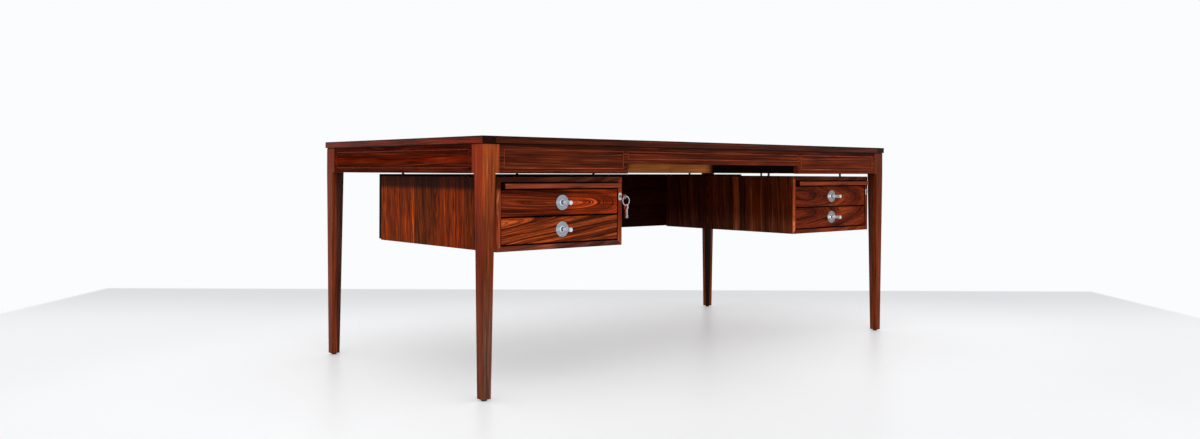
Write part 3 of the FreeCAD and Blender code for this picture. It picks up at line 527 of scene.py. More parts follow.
def figure_group():
    """The figure of rosewood as a node group.

    x runs along the grain. A slow noise and a bow, which grows with the square of x, bend the log.
    The distance r from its heart, divided by the ring spacing, runs through a broad, a middle and a
    fine noise, whose low values are dark and whose high values are orange bands. At even levels of
    a fourth noise lie thin black lines that fade in and out. Fine fibres and open pores lie along x.
    """
    tree = bpy.data.node_groups.new("rosewood_figure", "ShaderNodeTree")
    for name, kind, default in FIGURE_INPUTS:
        socket = tree.interface.new_socket(name=name, in_out="INPUT", socket_type=f"NodeSocket{kind}")
        if kind == "Float":
            socket.default_value = default
    for name, kind in (("Colour", "Color"), ("Height", "Float"), ("Dullness", "Float")):
        tree.interface.new_socket(name=name, in_out="OUTPUT", socket_type=f"NodeSocket{kind}")
    graph = Graph(tree)
    given = tree.nodes.new("NodeGroupInput").outputs
    result = tree.nodes.new("NodeGroupOutput")

    def scaled(scale, detail, rough=0.5, output="Fac"):
        """A noise over the place, scaled along and across the grain."""
        return graph.noise(graph.vector("MULTIPLY", given["Vector"], scale), 1.0, detail, rough, output)

    bend = graph.vector("SUBTRACT", scaled(SLOW_SCALE, 2.0, 0.45, "Color"), (0.5, 0.5, 0.5))
    bend = graph.vector("MULTIPLY", bend, graph.combine(0.0, given["Swirl"], given["Swirl"]))
    along = graph.split(given["Vector"])[0]
    bow = graph.math("MULTIPLY", graph.math("MULTIPLY", along, along), given["Bow"])
    heart = graph.combine(0.0, graph.math("SUBTRACT", given["Heart Y"], bow), given["Heart Z"])
    log = graph.vector("SUBTRACT", graph.vector("ADD", given["Vector"], bend), heart)
    radius = graph.vector("LENGTH", graph.vector("MULTIPLY", log, (0.0, 1.0, 1.0)))
    ring = graph.math("DIVIDE", radius, given["Spacing"])

    def ringed(across, length, seed, detail, rough):
        """A noise over the ring count and the place along the grain, each with its own scale."""
        return graph.noise(graph.combine(graph.math("MULTIPLY", ring, across),
                                         graph.math("MULTIPLY", along, length), seed), 1.0, detail, rough)

    fine = ringed(*FINE)
    value = graph.math("ADD", graph.math("MULTIPLY", ringed(*BROAD), BROAD_SHARE),
                       graph.math("MULTIPLY", ringed(*STREAKS), STREAK_SHARE))
    value = graph.math("ADD", value, graph.math("MULTIPLY", fine, FINE_SHARE))
    shade = graph.span(value, graph.math("SUBTRACT", given["Veins"], VEIN_SOFTNESS),
                       graph.math("ADD", given["Veins"], VEIN_SOFTNESS), 1.0, 0.0)
    band = graph.span(value, given["Bands"], graph.math("ADD", given["Bands"], BAND_SOFTNESS))
    contour = graph.math("ADD", ringed(*CONTOUR), graph.math("MULTIPLY", fine, LINE_RAGGEDNESS))
    level = graph.math("FRACT", graph.math("MULTIPLY", contour, LINE_COUNT))
    line = graph.span(graph.math("ABSOLUTE", graph.math("SUBTRACT", level, 0.5)), LINE_CORE, LINE_REACH,
                      1.0, 0.0)
    fade = graph.span(scaled(FADE_SCALE, 2.0), 0.40, 0.60)
    vein = graph.math("MAXIMUM", graph.math("MULTIPLY", shade, 0.85),
                      graph.math("MULTIPLY", graph.math("MULTIPLY", line, fade), given["Lines"]))

    fibres = scaled(FIBRE_SCALE, 3.0, 0.6)
    threads = scaled(THREAD_SCALE, 2.0, 0.6)
    pore = graph.span(scaled(PORE_SCALE, 1.0), 0.60, 0.70)
    cloud = graph.span(scaled(CLOUD_SCALE, 3.0, 0.6), 0.3, 0.7, 0.72, 1.28, "LINEAR")
    grain = graph.math("ADD", graph.math("SUBTRACT", fibres, 0.5),
                       graph.math("MULTIPLY", graph.math("SUBTRACT", threads, 0.5), 1.6))
    spread = graph.math("ADD", graph.math("MULTIPLY", grain, given["Fibre"]), 1.0)
    spread = graph.math("MULTIPLY", spread, cloud)
    spread = graph.math("MULTIPLY", spread, graph.math("SUBTRACT", 1.0, graph.math("MULTIPLY", pore, 0.35)))
    colour = graph.mix(vein, graph.mix(band, given["Base"], given["Light"]), given["Dark"])
    height = graph.math("SUBTRACT", graph.math("MULTIPLY", fibres, 0.35), pore)
    dull = graph.math("ADD", graph.math("MULTIPLY", vein, -0.06), graph.math("MULTIPLY", fibres, 0.10))
    for name, socket in (("Colour", graph.toned(colour, spread)), ("Height", height), ("Dullness", dull)):
        tree.links.new(socket, result.inputs[name])
    return tree


GRAIN_TURNS = {"x": (0.0, 0.0), "y": (0.0, math.pi / 2), "z": (-math.pi / 2, 0.0)}


def wood(name, grain="x", centre=(0, 0, 0), tilt=(0, 0, 0), tone=(1, 1, 1), spacing=0.011, swirl=0.03,
         heart=(0.05, 0.03), veins=0.40, bands=0.50, fibre=0.9, sheen=0.02, lines=0.6, palette=None,
         bow=0.0, tones_and_painted_light=()):
    """A rosewood, or with another palette a plainer wood, whose grain runs along one axis.

    tilt turns the log a little against the board, which opens its rings into long arches, and bow
    bends it more towards the ends. Each entry of the last argument (direction, start, full, shares)
    multiplies red, green and blue by shares that set in from start to full along a direction through
    the desk. Some entries darken end grain and some copy streaks; the rest are painted light and shade,
    such as painted shadow in gaps and under the slab, and faces lit or shaded where light falls.
    """
    look = bpy.context.scene.desk_rosewood
    material, graph, shader, place = new_material(name)
    about_y, about_z = GRAIN_TURNS[grain]
    turn = Matrix.Rotation(about_z, 3, "Z") @ Matrix.Rotation(about_y, 3, "Y")
    lean = (Matrix.Rotation(tilt[2], 3, "Z") @ Matrix.Rotation(tilt[1], 3, "Y")
            @ Matrix.Rotation(tilt[0], 3, "X"))
    figure = material.node_tree.nodes.new("ShaderNodeGroup")
    figure.node_tree = bpy.data.node_groups.get("rosewood_figure") or figure_group()
    graph.set(figure, "Vector", graph.laid(place, centre, (turn @ lean).to_euler()))
    for key, colour in zip(("Base", "Light", "Dark"), palette or (look.base, look.light, look.dark)):
        graph.set(figure, key, (*(part * share for part, share in zip(colour, tone)), 1.0))
    for key, value in (("Spacing", spacing), ("Swirl", swirl), ("Bow", bow), ("Heart Y", heart[0]),
                       ("Heart Z", heart[1]), ("Veins", veins), ("Bands", bands), ("Fibre", fibre),
                       ("Lines", lines)):
        graph.set(figure, key, value)
    colour = figure.outputs["Colour"]
    for direction, start, full, shares in tones_and_painted_light:
        reach = graph.span(graph.vector("DOT_PRODUCT", place, direction), start, full)
        colour = graph.mix(reach, colour, graph.mix(1.0, colour, shares, "MULTIPLY"))
    graph.set(shader, "Base Color", colour)
    dull = graph.math("ADD", figure.outputs["Dullness"], look.roughness, clamp=True)
    graph.set(shader, "Roughness", dull)
    shader.inputs["Specular IOR Level"].default_value = sheen
    shader.inputs["Specular Tint"].default_value = (*look.oil, 1.0)
    graph.bump(shader, figure.outputs["Height"], 0.6, look.pore_depth)
    return material


# Marks in metal: scales of the circles, the lines and the handling, and how far they spread the roughness

CIRCLE_SCALE, LINE_SCALE, HANDLING_SCALE = 2600.0, (4000.0, 4000.0, 160.0), 190.0
MARK_SPREAD, HANDLING_SPREAD, MARK_DEPTH = 0.16, 0.25, 0.00002


def metal(name, colour, roughness, centre, kind="turned", metallic=1.0, paint=None, wedge=1.0):
    """Satin metal with the fine marks of its making.

    Turned pieces have circles round the -Y axis through their centre, and flat pieces have lines
    along Z. A slow noise adds handling marks to the roughness. paint may change the colour from
    the place in the piece, the radius and the depth, and the last argument says how strong its
    bright wedge of painted highlight is.
    """
    material, graph, shader, place = new_material(name)
    laid = graph.laid(place, centre)
    if kind == "turned":
        radius = graph.vector("LENGTH", graph.vector("MULTIPLY", laid, (1.0, 0.0, 1.0)))
        depth = graph.split(laid)[1]
        marks = graph.noise(graph.combine(graph.math("MULTIPLY", radius, CIRCLE_SCALE),
                                          graph.math("MULTIPLY", depth, CIRCLE_SCALE), 0.0), 1.0, 2.0, 0.6)
        if paint:
            colour = paint(graph, colour, laid, radius, depth, wedge)
    else:
        marks = graph.noise(graph.vector("MULTIPLY", laid, LINE_SCALE), 1.0, 2.0, 0.6)
    handling = graph.noise(laid, HANDLING_SCALE, 3.0, 0.6)
    tone = graph.span(handling, 0.35, 0.65, 0.86, 1.04, "LINEAR")
    graph.set(shader, "Base Color", graph.toned(colour, tone))
    worn = graph.math("MULTIPLY", graph.math("SUBTRACT", handling, 0.5), HANDLING_SPREAD)
    marked = graph.math("ADD", graph.math("MULTIPLY", marks, MARK_SPREAD), roughness - MARK_SPREAD / 2)
    graph.set(shader, "Roughness", graph.math("ADD", worn, marked, clamp=True))
    shader.inputs["Metallic"].default_value = metallic
    graph.bump(shader, marks, 0.5, MARK_DEPTH)
    return material


# The pulls' painted light and shade: tones at shares of the plate's radius, highlights along the stem by
# depth, and the rise, gain and loss of the plate's bright wedge

PLATE_PAINTED_LIGHT = ((0.0, 0.05), (0.28, 0.05), (0.31, 2.1), (0.39, 2.0), (0.44, 0.85), (0.56, 1.10),
               (0.61, 0.62), (0.66, 1.05), (0.80, 0.95), (0.85, 0.55), (0.89, 1.10), (1.0, 1.35))
STEM_START, STEM_FULL, STEM_NECK, STEM_END = -0.0068, -0.0085, -0.012, -0.044
NECK_HIGHLIGHT, END_HIGHLIGHT = (2.9, 3.0, 3.2), (1.8, 1.9, 2.0)
WEDGE_RISE, WEDGE_GAIN, WEDGE_LOSS = (0.14, 0.40), 1.4, 0.25


def pull_paint(graph, colour, laid, radius, depth, wedge):
    """Painted light and shade on a turned pull by radius, with a level bright wedge of painted highlight
    across the plate.

    From the middle out the plate has a painted dark recess, a painted bright ring, dark rings at the lathe
    grooves and a painted bright rim. The stem in front of it is painted brighter, most of all at its neck.
    """
    rings = graph.ramp(graph.math("DIVIDE", radius, PLATE_RADIUS), PLATE_PAINTED_LIGHT)
    rise = graph.math("DIVIDE", graph.math("ABSOLUTE", graph.split(laid)[2]),
                      graph.math("ADD", radius, 0.0001))
    rings = graph.math("MULTIPLY", rings, graph.span(rise, *WEDGE_RISE, 1.0 + WEDGE_GAIN * wedge,
                                                     1.0 - WEDGE_LOSS * wedge))
    stem = graph.mix(graph.span(depth, STEM_NECK, STEM_END), NECK_HIGHLIGHT, END_HIGHLIGHT)
    painted_highlights = graph.mix(graph.span(depth, STEM_START, STEM_FULL), graph.combine(rings, rings, rings), stem)
    return graph.mix(1.0, colour, painted_highlights, "MULTIPLY")


def plastic(name, colour, roughness):
    """Matt moulded plastic with a fine grainy skin and a little dust in it."""
    material, graph, shader, place = new_material(name)
    dust = graph.span(graph.noise(place, 60.0, 3.0), 0.45, 0.75)
    graph.set(shader, "Base Color", graph.mix(dust, colour, tuple(part * 1.6 + 0.01 for part in colour)))
    shader.inputs["Roughness"].default_value = roughness
    graph.bump(shader, graph.noise(place, 1500.0, 2.0), 0.4, 0.00005)
    return material


def finish(node, material):
    """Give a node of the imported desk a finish, in its first material slot."""
    obj = NODES[node]
    if not obj.data.materials:
        obj.data.materials.append(material)
    for slot in obj.material_slots:
        slot.material = material


def middle(node):
    """The middle of a node's box."""
    low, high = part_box(node)
    return tuple((low[k] + high[k]) / 2 for k in range(3))


# Boards: how each one is cut from its log, and which of its edges are darkened as painted shade

PALE_WOOD = ((0.50, 0.33, 0.17), (0.60, 0.42, 0.24), (0.36, 0.21, 0.10))
TAN_WOOD = ((0.62, 0.27, 0.085), (0.72, 0.36, 0.13), (0.38, 0.15, 0.045))
# The slab strips' lower edge is painted shadow in the shadow gap under the slab; their upper edge is
# darkened to a thin line.
STRIP_EDGES = (("z", -1, 0.0022, 0.06), ("z", 1, 0.0028, 0.14))
SLAB_VENEER = dict(grain="x", centre=(0.2, 0.1, 0.69), tilt=(0.0, 0.02, 0.03), tone=(0.9, 0.95, 1.0),
                   spacing=0.022, swirl=0.09, heart=(0.0, -0.09), veins=0.43, bands=0.52, fibre=0.7,
                   sheen=0.35)
SLAB_LONG_STRIP = dict(grain="x", tilt=(0.0, 0.004, 0.006), tone=(0.29, 0.30, 0.60), spacing=0.0035,
                       swirl=0.006, heart=(0.05, 0.03), veins=0.45, bands=0.55, fibre=0.9, sheen=0.06,
                       edges=STRIP_EDGES)
SLAB_END_STRIP = dict(grain="y", tilt=(0.0, 0.03, 0.03), tone=(0.86, 0.43, 0.08), spacing=0.0090,
                      swirl=0.030, heart=(0.05, 0.04), veins=0.47, bands=0.55, fibre=0.9, sheen=0.06,
                      edges=STRIP_EDGES)
LEG = dict(grain="z", tilt=(0.0, 0.004, -0.005), spacing=0.0028, swirl=0.006, veins=0.31, bands=0.585,
           fibre=1.6, sheen=0.05, lines=0.5)
LEG_HEARTS = {"left": (0.07, 0.05), "right": (0.08, 0.05)}
# The long aprons' top edge is painted shadow under the slab, and their lower edge is darkened.
LONG_APRON = dict(grain="x", tilt=(0.0, 0.008, 0.006), tone=(0.43, 0.45, 0.9), spacing=0.0036,
                  swirl=0.014, heart=(0.05, 0.06), veins=0.45, bands=0.52, fibre=1.5, lines=0.8,
                  edges=(("z", 1, 0.009, 0.55, 0.004), ("z", -1, 0.003, 0.3)))
# The end aprons' top edge is painted shadow under the slab.
END_APRON = dict(grain="y", tilt=(0.0, 0.012, 0.006), tone=(0.355, 0.275, 0.48), spacing=0.006,
                 swirl=0.02, heart=(0.05, 0.05), veins=0.44, bands=0.52, fibre=1.4, sheen=0.0, lines=0.8,
                 edges=(("z", 1, 0.0008),))
BEAD = dict(grain="x", centre=(0.15, 0.0, 0.66), tilt=(0, 0.01, 0.01), tone=(0.86, 0.72, 1.3),
            spacing=0.006, swirl=0.01, heart=(0.05, 0.06), veins=0.34, bands=0.5, fibre=0.6, sheen=0.08)
OUTER_SIDE = dict(grain="z", tone=(0.94, 0.68, 0.13), spacing=0.0085, swirl=0.035, veins=0.42, bands=0.53,
                  fibre=2.1, lines=0.8)
# The inner sides' dark tone is painted shade under the desk.
INNER_SIDE = dict(grain="z", tone=(0.30, 0.286, 0.43), spacing=0.012, swirl=0.05, veins=0.42, bands=0.50,
                  fibre=1.2, lines=0.4)
# The case tops' lower edge is painted shadow in the gap over the writing slide.
CASE_TOP = dict(grain="x", tilt=(0.0, 0.01, 0.01), spacing=0.006, swirl=0.012, heart=(0.05, 0.04),
                veins=0.42, bands=0.52, fibre=0.8, edges=(("z", -1, 0.0015, 0.08),))
# The case bottoms' top edge is painted shade in the gap under the drawers.
CASE_BOTTOM = dict(grain="x", tilt=(0.0, 0.01, 0.01), spacing=0.006, swirl=0.012, heart=(0.05, 0.04),
                   veins=0.40, bands=0.52, fibre=0.8, sheen=0.03, edges=(("z", 1, 0.0010, 0.05),))
# The writing slides' lower and upper edges are painted shade in the gaps round them.
WRITING_SLIDE = dict(grain="x", tilt=(0.0, 0.006, 0.01), spacing=0.007, swirl=0.015, heart=(0.06, 0.04),
                     veins=0.35, bands=0.50, fibre=0.9, sheen=0.05,
                     edges=(("z", -1, 0.0014), ("z", 1, 0.0016, 0.25)))
# The modesty panel's near-black tone is painted shade under the desk.
MODESTY_PANEL = dict(grain="x", tilt=(0.0, 0.012, 0.01), tone=(0.068, 0.060, 0.08), spacing=0.011,
                     swirl=0.035, heart=(0.05, 0.07), veins=0.45, bands=0.55, fibre=0.9)
TAN_BOARD = dict(grain="y", tilt=(0.0, 0.01, 0.01), spacing=0.006, swirl=0.01, heart=(0.05, 0.06),
                 veins=0.30, bands=0.5, fibre=0.6, lines=0.0, palette=TAN_WOOD)
DRAWER_BOX = dict(tilt=(0, 0.02, 0.02), spacing=0.009, swirl=0.02, heart=(0.04, 0.05), veins=0.32,
                  bands=0.5, fibre=0.4, sheen=0.1, lines=0.0, palette=PALE_WOOD)
# The drawer fronts' lower and upper edges are painted shade in the gaps round them.
DRAWER_FRONT = dict(grain="x", fibre=1.4, lines=1.0, edges=(("z", -1, 0.0014), ("z", 1, 0.0014)))
DRAWER_FRONTS = {
    ("left", "upper"): dict(centre=(-0.760, -0.44, 0.538), tilt=(0.0, 0.02, 0.0), heart=(-0.004, 0.0),
                            spacing=0.0050, swirl=0.026, bow=0.34, veins=0.475, bands=0.49,
                            tone=(0.56, 0.40, 0.52)),
    ("left", "lower"): dict(centre=(-0.580, -0.44, 0.460), tilt=(0.0, -0.11, -0.05), heart=(-0.03, 0.05),
                            spacing=0.0040, swirl=0.025, veins=0.475, bands=0.48, tone=(1.05, 0.92, 1.0)),
    ("right", "upper"): dict(centre=(0.640, -0.44, 0.537), tilt=(0.0, 0.02, -0.09), heart=(-0.05, 0.0),
                             spacing=0.007, swirl=0.03, bow=0.3, veins=0.45, bands=0.51,
                             tone=(0.63, 0.485, 0.60)),
    ("right", "lower"): dict(centre=(0.640, -0.44, 0.460), tilt=(0.0, -0.08, -0.07), heart=(-0.05, 0.02),
                             spacing=0.007, swirl=0.03, bow=0.2, veins=0.45, bands=0.51,
                             tone=(0.63, 0.475, 0.58)),
}

# Tones of single boards; the front edges of the case sides have their own, apart from their faces. The four
# legs, and the left and right copies of the case boards, differ in tone to copy how each is lit: painted
# light and shade.

LEG_TONES = {("front", "left"): (1.20, 1.45, 1.9), ("front", "right"): (0.52, 0.51, 0.58),
             ("back", "left"): (0.86, 0.95, 1.7), ("back", "right"): (0.80, 0.85, 1.5)}
BEARER_TONE = (1.16, 0.90, 0.69)
SIDE_EDGE_TONES = {("left", "outer"): (1.20, 1.30, 2.4), ("left", "inner"): (1.05, 0.95, 1.45),
                   ("right", "outer"): (0.50, 0.6, 1.6), ("right", "inner"): (1.2, 1.1, 1.6)}
CASE_TOP_TONES = {"left": (0.34, 0.46, 1.3), "right": (0.40, 0.38, 0.65)}
CASE_BOTTOM_TONES = {"left": (0.74, 1.0, 3.0), "right": (0.60, 0.52, 0.8)}
WRITING_SLIDE_TONES = {"left": (0.94, 1.08, 2.5), "right": (0.92, 0.90, 1.3)}

# Tints of the fittings, and the strength of the bright wedge, a painted highlight, on the pulls' plates.
# The left pulls' bluer tint is a painted reflection.

PULL_TINTS = {"left": (0.35, 0.38, 0.43), "right": (0.35, 0.35, 0.355)}
PULL_HIGHLIGHT_WEDGES = {"left": 0.25, "right": 1.0}
PLATE_NICKEL, PLUG_NICKEL, KEY_NICKEL = (0.58, 0.58, 0.58), (0.50, 0.50, 0.50), (0.45, 0.45, 0.44)
SPARE_NICKEL, RING_NICKEL = (0.70, 0.70, 0.70), (0.80, 0.81, 0.82)
GLIDE_BLACK, BLACK_STEEL, ZINC = (0.02, 0.02, 0.02), (0.03, 0.03, 0.032), (0.45, 0.45, 0.44)

# Shades: each is a direction, the places along it where it starts and is full, and its shares. Many are
# painted light and shade, as noted at each; the rest are plain tone.

ALONG, IN, UP = (1.0, 0.0, 0.0), (0.0, 1.0, 0.0), (0.0, 0.0, 1.0)
EDGE_LINE, EDGE_SHARE, END_GRAIN_DEPTH = 0.0006, 0.10, 0.0006


def pulse(direction, low, high, soft, shares):
    """Two entries that tone a stripe between two places along a direction, with soft edges."""
    return [(direction, low - soft, low, shares),
            (direction, high, high + soft, tuple(1 / share for share in shares))]


APRON_SHADES = [(ALONG, -0.5, 0.7, (1.22, 1.05, 0.80))]
END_APRON_SHADES = pulse(UP, 0.657, 0.668, 0.006, (1.9, 1.3, 0.9))
# Painted shade: the left apron's beads are darkened against the light they catch.
BEAD_PAINTED_SHADE = [((-1.0, 0.0, 0.0), 0.9500, 0.9505, (0.55, 0.22, 0.10))]
# Painted shadow: the bearers are darkened over their front half.
BEARER_PAINTED_SHADE = [(IN, -0.005, -0.055, (0.01, 0.01, 0.02))]
CASE_BOTTOM_SHADES = {"left": [(ALONG, -0.72, -0.67, (0.38, 0.42, 0.55))], "right": []}
DRAWER_SHADES = {("left", "upper"): [(ALONG, -0.66, -0.60, (2.45, 2.20, 1.50))],
                 ("left", "lower"): [(ALONG, -0.66, -0.60, (0.76, 0.80, 0.90))]}

# Painted light and shade on the legs: heads lit or shaded along their height, lower parts greyer and
# lighter as a painted reflection of the floor, and single faces shaded up to an edge that they share.

LEG_PAINTED_LIGHT = {("front", "left"): [(UP, 0.67, 0.44, (0.52, 0.50, 0.62)), (UP, 0.40, 0.10, (1.13, 2.4, 5.2)),
                                  ((1.0, -0.9, 0.0011), -0.5308, -0.5314, (1.12, 0.62, 0.35))],
              ("front", "right"): [(UP, 0.60, 0.15, (1.5, 1.6, 1.6)),
                                   ((1.0, -0.9, 0.0011), 1.3262, 1.3256, (0.72, 1.2, 3.0))],
              ("back", "left"): [(UP, 0.60, 0.66, (1.00, 0.55, 0.12)),
                                 ((-0.9, 1.0, 0.0011), 1.2777, 1.2771, (0.34, 0.72, 1.6))],
              ("back", "right"): [((1.0, 1.0, 0.0), 1.3725, 1.3715, (0.045, 0.13, 0.225))]}

# The case sides are shaded by height, and in upright stripes whose places count from the cases' front. On
# the outer sides the dark band at the top is painted shadow of the slab and apron, and the bottom edge is
# darker; the inner sides are darker towards the back and lighter towards the floor, as painted shade and
# light. The stripes copy streaks in the figure.

SIDE_EDGE_START, SIDE_EDGE_FULL = 0.0003, 0.0009
SIDE_LOG_Y, SIDE_LOG_STEP, SIDE_LOG_Z = -0.10, 0.05, 0.5
SIDE_LEAN, SIDE_TURN, SIDE_HEART_Y, SIDE_HEART_Z = 0.05, 0.06, 0.02, 0.05
OUTER_PAINTED_SHADE_AND_STREAKS = [(UP, 0.566, 0.584, (0.22, 0.22, 0.12)), (UP, 0.402, 0.395, (0.30, 0.30, 0.35)),
                *pulse(IN, 0.446, 0.452, 0.004, (2.2, 2.6, 2.2)),
                *pulse((0.0, 1.0, 0.05), 0.345, 0.455, 0.012, (0.58, 0.70, 0.8)),
                *pulse((0.0, 1.0, 0.03), 0.185, 0.215, 0.008, (1.6, 1.35, 1.0)),
                *pulse((0.0, 1.0, -0.04), 0.07, 0.165, 0.015, (0.62, 0.72, 0.9))]
INNER_PAINTED_LIGHT_AND_STREAKS = [(IN, 0.20, 0.62, (0.42, 0.42, 0.6)), (UP, 0.49, 0.41, (1.6, 2.3, 3.2)),
                *pulse(IN, 0.264, 0.284, 0.004, (2.1, 2.1, 1.7)),
                *pulse(IN, 0.228, 0.252, 0.004, (0.45, 0.5, 0.6)),
                *pulse(IN, 0.30, 0.345, 0.006, (0.6, 0.7, 0.9)),
                *pulse(IN, 0.165, 0.195, 0.006, (1.3, 1.25, 1.1)),
                *pulse(IN, 0.10, 0.135, 0.006, (0.7, 0.75, 0.9)),
                *pulse(IN, 0.430, 0.470, 0.006, (0.6, 0.65, 0.8))]


def from_front(shades, front):
    """Shades whose places across the desk count from the cases' front, as places in the desk."""
    return [(way, start + front * way[1], full + front * way[1], shares)
            for way, start, full, shares in shades]


def edge(node, axis, hand, depth, share=EDGE_SHARE, line=EDGE_LINE):
    """A darkening of a node's low (hand -1) or high (hand 1) end along an axis, to a depth, used for dark
    end grain and for painted shade along edges.
    """
    place = float(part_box(node)[0 if hand < 0 else 1]["xyz".index(axis)]) - hand * depth
    direction = tuple(float(axis == name) for name in "xyz")
    return direction, place - hand * line, place, (share, share, share)


def board(node, recipe, tones_and_painted_light=(), **changes):
    """Finish a node in the wood of a recipe, centred on the node unless the recipe says where.

    Both ends of the board are dark, as end grain is. The edges that the recipe names are darkened as
    painted shade, mostly in gaps and under the slab.
    """
    values = {"centre": middle(node), "edges": (), **recipe, **changes}
    ends = [(values["grain"], hand, END_GRAIN_DEPTH) for hand in (-1, 1)]
    darkened = [edge(node, *row) for row in (*ends, *values.pop("edges"))]
    finish(node, wood(f"wood_{node}", tones_and_painted_light=(*darkened, *tones_and_painted_light), **values))


# Operators

class DESK_OT_slab(bpy.types.Operator):
    """Finish the slab: a veneered core with long grain, and darker solid strips round it"""

    bl_idname = "desk.slab"
    bl_label = "Slab finish"

    def execute(self, context):
        board("top_panel", SLAB_VENEER)
        for end in ENDS:
            board(f"top_lipping_{end}", SLAB_LONG_STRIP)
        for side in SIDES:
            board(f"top_lipping_{side}", SLAB_END_STRIP)
        return {"FINISHED"}


class DESK_OT_under_frame(bpy.types.Operator):
    """Finish the legs, aprons and bearers"""

    bl_idname = "desk.under_frame"
    bl_label = "Under-frame finish"

    def execute(self, context):
        for end in ENDS:
            board(f"apron_{end}", LONG_APRON, APRON_SHADES)
            for side in SIDES:
                board(f"leg_{end}_{side}", LEG, LEG_PAINTED_LIGHT[end, side], heart=LEG_HEARTS[side],
                      tone=LEG_TONES[end, side])
        for side in SIDES:
            board(f"apron_{side}", END_APRON, END_APRON_SHADES)
            for reach in REACHES:
                board(f"bearer_{side}_{reach}", TAN_BOARD, BEARER_PAINTED_SHADE, tone=BEARER_TONE, sheen=0.05)
        return {"FINISHED"}


class DESK_OT_beads(bpy.types.Operator):
    """Make the rounded mouldings of the apron fields, mitred at their corners"""

    bl_idname = "desk.beads"
    bl_label = "Apron beads"

    def execute(self, context):
        look = context.scene.desk_bead
        leg_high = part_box("leg_front_left")[1]
        apron_low, apron_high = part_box("apron_front")
        knee = -float(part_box("bearer_left_inner")[1][0]) - look.arch_inset
        low, high = float(apron_low[2]) + look.bottom_border, float(apron_high[2]) - look.top_border
        rail_end_x = -float(leg_high[0]) - look.end_border
        rail_end_y = -float(leg_high[1]) - look.end_border
        fields = []
        for hand, arch in ((-1, look.arch_height), (1, 0.0)):
            face = -hand * float(apron_low[1]) - hand * look.field_depth
            fields += [("y", hand, face, (-rail_end_x, -knee - look.end_border), (low, high)),
                       ("y", hand, face, (-knee, knee), (low + arch, high)),
                       ("y", hand, face, (knee + look.end_border, rail_end_x), (low, high))]
        side_face = -float(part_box("apron_left")[0][0]) - look.field_depth
        for hand in (-1, 1):
            fields.append(("x", hand, hand * side_face, (-rail_end_y, rail_end_y), (low, high)))
        width, rise = look.width, look.rise
        shoulder, slope, ease = rise * SHOULDER_SHARE, width * SLOPE_SHARE, rise * EASE_SHARE
        profile = rounded([(0, 0), (0, shoulder), (slope, rise), (width - slope, rise), (width, shoulder),
                           (width, 0)], [0, ease, ease, ease, ease, 0], 5, True)
        points, faces = [], []
        for axis, hand, face, run, tall in fields:
            start = sum(len(part) for part in points)
            part, quads = frame_moulding(profile, axis, hand, face, run, tall)
            points.append(part)
            faces += [[corner + start for corner in quad] for quad in quads]
        beads = piece_from("apron_bead_mouldings", np.vstack(points), faces, "desk",
                           wood("wood_beads", tones_and_painted_light=BEAD_PAINTED_SHADE, **BEAD), False)
        outward(beads)
        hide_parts("apron_beads")
        return {"FINISHED"}


class DESK_OT_cases(bpy.types.Operator):
    """Finish the drawer cases, their runners, the writing slides and the modesty panel"""

    bl_idname = "desk.cases"
    bl_label = "Case finish"

    def execute(self, context):
        for side, hand in zip(SIDES, (-1, 1)):
            self.finish_side(f"{side}_case_outer_side", OUTER_SIDE, OUTER_PAINTED_SHADE_AND_STREAKS, hand, hand,
                             SIDE_EDGE_TONES[side, "outer"])
            self.finish_side(f"{side}_case_inner_side", INNER_SIDE, INNER_PAINTED_LIGHT_AND_STREAKS, hand, -hand,
                             SIDE_EDGE_TONES[side, "inner"])
            board(f"{side}_case_top", CASE_TOP, tone=CASE_TOP_TONES[side])
            board(f"{side}_case_bottom", CASE_BOTTOM, CASE_BOTTOM_SHADES[side],
                  tone=CASE_BOTTOM_TONES[side])
            board(f"{side}_case_runners", TAN_BOARD, sheen=0.08)
            board(f"{side}_writing_slide", WRITING_SLIDE, tone=WRITING_SLIDE_TONES[side])
        board("modesty_panel", MODESTY_PANEL)
        return {"FINISHED"}

    def finish_side(self, node, recipe, shades, hand, facing, edge_tone):
        """A case side whose inner face is darkened as painted shade inside the case, and whose front edge
        has a tone of its own, set to copy how it is lit.
        """
        front = float(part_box("left_case_top")[0][1])
        behind = tuple(face / edge for face, edge in zip(recipe["tone"], edge_tone))
        board(node, recipe, [(IN, front + SIDE_EDGE_START, front + SIDE_EDGE_FULL, behind),
                             *from_front(shades, front)],
              centre=(middle(node)[0], SIDE_LOG_Y + SIDE_LOG_STEP * hand, SIDE_LOG_Z),
              tilt=(0.0, SIDE_LEAN * facing, SIDE_TURN), heart=(SIDE_HEART_Y, SIDE_HEART_Z * facing),
              tone=edge_tone, edges=[("x", -facing, 0.0005, 0.05, 0.0002)])


class DESK_OT_drawers(bpy.types.Operator):
    """Finish the drawer fronts in swirling veneer and the boxes in plain pale wood"""

    bl_idname = "desk.drawers"
    bl_label = "Drawer finish"

    def execute(self, context):
        for side in SIDES:
            for level in LEVELS:
                prefix = f"{side}_{level}_drawer"
                board(f"{prefix}_front", DRAWER_FRONT, DRAWER_SHADES.get((side, level), ()),
                      **DRAWER_FRONTS[side, level])
                for part, grain in (("sides", "y"), ("back", "x"), ("bottom", "x")):
                    board(f"{prefix}_{part}", DRAWER_BOX, grain=grain)
        return {"FINISHED"}


